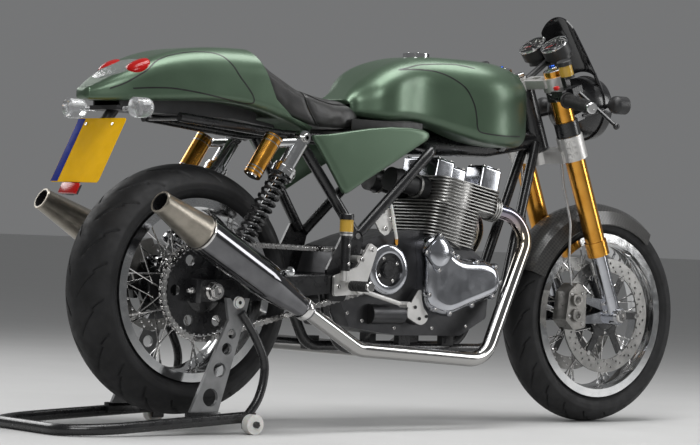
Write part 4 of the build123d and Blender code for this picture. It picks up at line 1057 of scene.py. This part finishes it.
# Engine and exhaust
BARREL_AHEAD = Vector((0.9816, 0, -0.1908))
BARREL_UP = Vector((0.1908, 0, 0.9816))
HEAD_LOW = 105.6
HEAD_TOP = 176.0
POINTS_COVER = (727, 463)
POINTS_CLEAR = 56
TIMING_EDGE = [(704, 500), (740, 510), (772, 492), (800, 462), (840, 448), (905, 447), (948, 432), (962, 395),
               (950, 355), (912, 338), (850, 318), (790, 298), (748, 301), (712, 320), (702, 360), (700, 430),
               (694, 470)]
# depth inside the outline, place across the machine
TIMING_RIM = ((0, 95.3), (0, 120), (2, 130), (6, 139), (12, 145), (19, 148.6), (27, 150), (29, 150))
PUMP_EDGE = [(652, 308), (656, 318), (684, 358), (690, 363), (697, 362), (698, 350), (700, 338), (706, 318),
             (716, 306), (722, 296), (720, 284), (710, 275), (694, 272), (662, 286), (653, 292)]
STEADY_EDGE = [(527, 556), (540, 574), (560, 583), (580, 577), (606, 552), (604, 540), (585, 508), (572, 503),
               (556, 512)]
HOSE_END = (614, -112, 482)
HOSE_PATH = ((580, -104, 612), (588, -118, 580), (598, -121, 532), (608, -119, 500), HOSE_END, (616, -94, 470))
# middle x and y, half length, half width, top
ROCKER_LIDS = ((98, 72, 25, 27, 60), (98, -72, 25, 27, 60), (-36, 0, 22, 64, 50))
# x, z and radius of the primary cover's rear and front rows of bosses
PRIMARY_ENDS = ((560, 400, 78), (850, 388, 66))


def on_barrel(x, y, z):
    """A place in millimetres on the leaning barrels: x ahead, y to the left, z up from their base."""
    return spot(806, 0, 482) + (BARREL_AHEAD * x + LEFT * y + BARREL_UP * z) * MM


def clover(x, z):
    """Outline of the four-lobed points cover."""
    line = []
    for a in turns(96):
        r = 40 + 11.5 * ((cos(4 * a) + 1) / 2) ** 3
        line.append((x + r * cos(a), z + r * sin(a)))
    return line


def drawn_in(loop, depth):
    """A closed outline moved inwards by depth, evened so that its corners stay round."""
    count = len(loop)
    steps = ceil(depth / 4)
    for _ in range(steps):
        moved = []
        for k in range(count):
            along = (loop[(k + 2) % count] - loop[k - 2]).normalized()
            moved.append(loop[k] + Vector((along.y, -along.x, 0)) * depth / steps)
        loop = [(moved[k - 1] + moved[k] * 2 + moved[(k + 1) % count]) / 4 for k in range(count)]
    return loop


@pieces("chassis", timing_case=("case_polish", "timing_cover", 40), timing_bosses="case_polish",
        timing_screws="bright_steel")
def timing_case(case, bosses, screws):
    """Polished timing cover with a rounded edge, and the bosses round it."""
    line = rounded(TIMING_EDGE)
    case.rings([[spot(p.x, -y, p.y) for p in drawn_in(line, depth)] for depth, y in TIMING_RIM])
    for place in drawn_in(line, 6)[3::8]:
        if (place.x - POINTS_COVER[0]) ** 2 + (place.y - POINTS_COVER[1]) ** 2 < POINTS_CLEAR ** 2:
            continue
        bosses.stud(spot(place.x, -128, place.y), RIGHT, -20, 16, 8.5, 24, 2)
        screws.screw(spot(place.x, -144, place.y), RIGHT, 4.6, 3)


@pieces("chassis", engine_bosses="case_polish", engine_screws="bright_steel", port_rings="cast_alloy",
        drive_cover_centre="black_metal", engine_steady="satin_alloy", breather_hose="white_nylon",
        breather_fitting="gold_anodised")
def engine(polished, screws, cast, black, mount, hose, fitting):
    x, z = POINTS_COVER
    polished.plate([clover(x, z)], spot(0, -155.5, 0), 7)
    polished.turned(spot(x, -158, z), RIGHT, [(0, 36), (2.5, 35), (5, 30), (6.6, 20), (7, DOT)], 48)
    for a in turns(4):
        screws.screw(polar(spot(x, -159, z), 46, a), RIGHT, 4.6, 3)
    mount.plate([[p[:2] for p in rounded(PUMP_EDGE, 4)]], spot(0, -122.5, 0), 3)
    for x, z in ((702, 352), (677, 318), (692, 288), (716, 294)):
        black.screw(spot(x, -124, z), RIGHT, 4.6, 3.5)
    hub = spot(OUTPUT_SHAFT[0], -132, OUTPUT_SHAFT[1])
    polished.turned(hub, RIGHT, [
        (-13, 65), (-13, 66.6), (0, 66.6), (3.6, 65.7), (6.6, 62.9), (8.6, 58.5), (9.2, 52), (9.2, 46),
        (8.4, 43.8), (0.4, 43.4), (0.4, 45)], 72, True)
    black.collar(hub, RIGHT, -0.5, 0.8, 22.3, 43.2, 64)
    black.turned(hub, RIGHT, [(6, DOT), (6, 20), (9, 19), (9, DOT)], 40)
    for a in turns(4, 0.5):
        screws.screw(polar(hub, 33, a, -0.8), RIGHT, 4.6, 4)
    mount.plate([STEADY_EDGE], spot(0, -112, 0), 6)
    for x, z in ((562, 566), (590, 548), (572, 522)):
        screws.screw(spot(x, -115, z), RIGHT, 6, 5)
    hose.swept(smooth_path([spot(*p) for p in HOSE_PATH]), 4.2, 12)
    fitting_at = spot(609, -118, 496)
    fitting.drum(fitting_at, spot(*HOSE_END) - fitting_at, 0, 16, 6, 16)
    for x, y, long, wide, top in ROCKER_LIDS:
        polished.block(on_barrel(x, y, HEAD_TOP + top + 1.5), (2 * long - 10, 2 * wide - 10, 5),
                       (BARREL_AHEAD, LEFT, BARREL_UP), 2)
        for a in SIDES:
            for b in SIDES:
                screws.screw(on_barrel(x + a * long, y + b * wide, HEAD_TOP + top), BARREL_UP, 4.5, 4)
    for side in SIDES:
        stub = on_barrel(-72.3, side * 44, HEAD_LOW + 32)
        for at, r in ((28, 31), (88, 33.5)):
            cast.collar(stub, -BARREL_AHEAD, at, at + 7, r - 4, r + 0.8, 40)
        port = on_barrel(152, side * 74, HEAD_LOW + 28)
        cast.turned(port, BARREL_AHEAD, [
            (-16, 29.5), (-16, 35), (-12, 35), (-12, 32), (-8, 32), (-8, 35), (-4, 35), (-4, 32), (0, 32),
            (0, 35), (5, 35), (8, 30), (8, 20.6), (1, 20.6), (1, 29.5)], 48, True)
        for x, z in ((630, 262), (760, 262), (880, 268), (470, 300), (520, 280)):
            screws.screw(spot(x, side * 95.2, z), LEFT * side, 5, 4)
    for a in turns(12):
        x, z, r = PRIMARY_ENDS[0 if cos(a) < 0 else 1]
        place = polar(spot(x, 134, z), r, a)
        polished.stud(place, LEFT, -30, 8, 8, 20, 2)
        screws.screw(place + LEFT * 8 * MM, LEFT, 4.6, 3)


@pieces("chassis", muffler_tips="brushed_tip", muffler_bores="black_metal", muffler_bands="bright_steel",
        muffler_hangers="polished_alloy")
def exhausts(tips, bores, bands, bolts):
    for side in SIDES:
        tip = spot(-247, side * 262, 566)
        along = spot(250, side * 214, 306) - tip
        end = along.length / MM
        tips.turned(tip, along, [
            (-1.5, 24.2), (-1.5, 28.2), (1, 29.4), (5, 29.2), (7, 28.5), (148, 44.6), (150, 44.2),
            (150, 42)], 72, True)
        bores.collar(tip, along, -0.5, 79, 23, 23.9, 48)
        bores.drum(tip, along, 76, 78, 23.5, 40)
        bands.turned(tip, along, [
            (end - 24, 25), (end - 24, 28), (end - 22, 29), (end - 8, 29), (end - 6, 28),
            (end - 6, 25)], 48, True)
        bands.turned(tip, along, [(151, 46), (151, 48.6), (155, 48.8), (157, 48.2), (157, 46)], 72, True)
        bolts.turned(spot(155, side * 246, 406), LEFT * side, [
            (-60, 6), (10, 6), (10, 13), (14, 13), (14, 9), (20, 9), (21, 7.5), (21, DOT)], 24)


# Rear end, foot gear and stand
SPRING_TURNS = 11
SPRING_STEPS = 24
SPRING_R = 23.5
SPRING_LOW = 73
SPRING_RISE = 201
PUMP_AT = (400, -169.3, 500)


@pieces("chassis", rear_nuts="bright_steel", axle_adjusters="black_metal", rear_fluid_cup="fluid_amber",
        peg_rubbers="grip_rubber", shock_collars="polished_alloy",
        shock_coils=("black_metal", "shock_springs", 60))
def rear_end(nuts, black, amber, rubber, collars, springs):
    for side in SIDES:
        out = LEFT * side
        axle = REAR_AXLE + out * 168 * MM
        nuts.turned(axle, out, [
            (-8, 21.5), (-4, 21.5), (-4, 17), (5, 17), (7, 15.5), (7, 9), (1, 8.6), (1, DOT)], 6)
        nuts.turned(axle, out, [(-17, 24), (-14, 24), (-14, 12)], 40)
        adjuster = REAR_AXLE + out * 137.5 * MM
        black.block(adjuster - AHEAD * 44 * MM, (16, 29, 60), None, 3)
        nuts.turned(adjuster - AHEAD * 52 * MM, -AHEAD, [(0, 8), (7, 8), (7, 5), (16, 5), (16, DOT)], 6)
        top = spot(265, side * 146, 744)
        low = spot(48, side * 146, 414)
        nuts.turned(top + out * 11 * MM, out, [
            (0, 15), (2, 15), (2, 10.5), (8, 10.5), (9, 9.5), (9, 5), (6, 4.6), (6, DOT)], 24)
        nuts.turned(low + out * 11 * MM, out, [(0, 12), (2, 12), (2, 9), (8, 9), (9, 8), (9, DOT)], 6)
        along = (top - low).normalized()
        span = (top - low).length / MM
        collars.turned(low, along, [
            (span - 106, 23), (span - 106, 32.4), (span - 100, 32.4), (span - 98, 30), (span - 92, 30),
            (span - 92, 23)], 40, True)
        collars.turned(low, along, [(56, 10), (56, 24), (60, 31.6), (62, 31.6), (62, 10)], 40, True)
        flat = along.orthogonal().normalized()
        other = along.cross(flat)
        coil = []
        for k in range(SPRING_TURNS * SPRING_STEPS + 1):
            a = 2 * pi * k / SPRING_STEPS
            rise = SPRING_LOW + SPRING_RISE * k / (SPRING_TURNS * SPRING_STEPS)
            coil.append(low + (along * rise + (flat * cos(a) + other * sin(a)) * SPRING_R) * MM)
        springs.swept(coil, 4.4)
        can = spot(173, side * 148, 742)
        for at in (4, 20, 98, 108):
            collars.collar(can, -along, at, at + 3, 22, 23.7, 40)
        collars.turned(can, -along, [(117, DOT), (117, 15), (122, 14), (122, DOT)], 24)
        for k in range(7):
            rubber.collar(spot(420, side * 176, 372), out, 10 * k, 10 * k + 7, 10.5, 13.5, 24)
        nuts.turned(spot(420, side * 247, 372), out, [(0, DOT), (0, 13), (5, 13), (7, 11), (7, DOT)], 24)
        for x, z in ((460, 440), (490, 466), (384, 370)):
            nuts.screw(spot(x, side * 162.3, z), out, 6, 5)
        for x, z, r in ((402, 378, 13), (450, 500, 8), (474, 500, 8)):
            nuts.turned(spot(x, side * 124.2, z), out, [(-1, r), (2, r), (2, DOT)], 24)
    pump = spot(*PUMP_AT)
    amber.drum(pump, UP, 10, 42, 17.7, 32)
    black.turned(pump, UP, [(41, DOT), (41, 19), (54, 19), (56, 17), (56, DOT)], 32)
    black.turned(pump, UP, [(-90, 10.5), (-90, 13), (-4, 13.5), (-2, 15.5), (8, 17.6), (8, 10.5)], 32, True)
    for z in (-72, -26):
        nuts.screw(pump + (UP * z - LEFT * 13) * MM, RIGHT, 4.5, 4)


HOOK = [(23, 335.8), (35, 335.8), (59, 311.9), (83, 335.8), (95, 335.8), (81, 281.9), (8, 46), (-78, 46),
        (33, 281.9)]
HOOK_HOLES = ((44, 247, 12), (30, 210, 15), (10, 158, 18.5), (-15, 90, 22.5))
STRUT_PATH = ((66, 182, 300), (104, 184, 250), (136, 186, 190), (140, 187, 140), (122, 188, 84), (89, 188, 42))


@pieces("chassis", stand_plates=("stand_grey", "stand_uprights", 30), stand_struts="black_metal",
        stand_bobbins="white_nylon", stand_bolts="black_metal")
def paddock_stand(plates, struts, bobbins, heads):
    for side in SIDES:
        out = LEFT * side
        holes = [circle(r, 32, x, z) for x, z, r in HOOK_HOLES]
        plates.plate([HOOK, *holes], spot(0, side * 171, 0), 10)
        struts.swept(smooth_path([spot(x, side * y, z) for x, y, z in STRUT_PATH]), 11, 18)
        struts.block(spot(-37, side * 177, 42), (94, 22, 24))
        bobbins.turned(spot(59, side * 177, 325), out, [
            (0, 9), (0, 15.5), (6, 15.5), (9, 13.5), (9, 5), (6, 4.5), (6, DOT)], 36)
        heads.turned(spot(59, side * 183, 325), out, [(-2, 4.6), (1.5, 4.6), (1.5, DOT)], 6)
        heads.stud(spot(89, side * 231, 25), out, -1, 5, 9, 6)


# Studio
SKY_COLOUR = (0.80, 0.81, 0.82, 1)
SKY_STRENGTH = 0.22
LIT_PLACE = Vector((0, 0, 0.5))
# name, place, width, length, power
LIGHTS = (
    ("overhead", (0.1, -0.5, 3.2), 3.6, 1.3, 95),
    ("key", (-3.0, -3.2, 2.6), 1.4, 2.0, 60),
    ("front", (3.2, -2.4, 1.7), 0.9, 2.4, 45),
    ("back", (-1.0, 3.6, 2.4), 3.0, 1.2, 45),
)


def studio():
    """Pale floor, soft lights and the photograph's camera."""
    scene = bpy.context.scene
    bpy.ops.mesh.primitive_circle_add(vertices=128, radius=60, fill_type="NGON", location=(0, 0, -0.0005))
    floor = bpy.context.object
    floor.name = "floor"
    floor.data.materials.append(
        worn("floor_pale", (0.63, 0.63, 0.625), (0.645, 0.645, 0.64), (0.52, 0.6), 3, 300, 0.0001))
    scene.world = bpy.data.worlds.new("studio")
    scene.world.use_nodes = True
    sky = scene.world.node_tree.nodes["Background"]
    sky.inputs["Color"].default_value = SKY_COLOUR
    sky.inputs["Strength"].default_value = SKY_STRENGTH
    scene.view_settings.view_transform = "Standard"
    for name, place, width, length, power in LIGHTS:
        lamp = bpy.data.lights.new(name, "AREA")
        lamp.shape = "RECTANGLE"
        lamp.size = width
        lamp.size_y = length
        lamp.energy = power
        holder = bpy.data.objects.new(name, lamp)
        holder.location = place
        holder.rotation_euler = (LIT_PLACE - Vector(place)).to_track_quat("-Z", "Y").to_euler()
        holder.visible_camera = False
        scene.collection.objects.link(holder)
    yaw = radians(CAMERA_YAW)
    pitch = radians(CAMERA_PITCH)
    ahead = Vector((cos(yaw) * cos(pitch), sin(yaw) * cos(pitch), sin(pitch)))
    right = Matrix.Rotation(radians(-CAMERA_ROLL), 3, ahead) @ ahead.cross(UP).normalized()
    camera = bpy.data.objects.new("camera", bpy.data.cameras.new("camera"))
    camera.data.lens = CAMERA_LENS
    camera.data.sensor_width = CAMERA_FILM
    camera.data.clip_end = 200
    turn = Matrix((right, right.cross(ahead), -ahead)).transposed()
    camera.matrix_world = Matrix.Translation(CAMERA_AT) @ turn.to_4x4()
    scene.collection.objects.link(camera)
    scene.camera = camera


dress_nodes()
wheels()
front_brake_discs()
rear_brake_disc()
chain()
stripes_and_cap()
side_covers()
seat_cushion()
dials()
front_lamp()
rear_lamp()
rounded_end("cowl_end", "tail_cowl", 0.010)
rounded_end("tank_end", "fuel_tank", 0.012, "seat_pad")
plate_trim()
controls()
brakes()
timing_case()
engine()
exhausts()
rear_end()
paddock_stand()
studio()
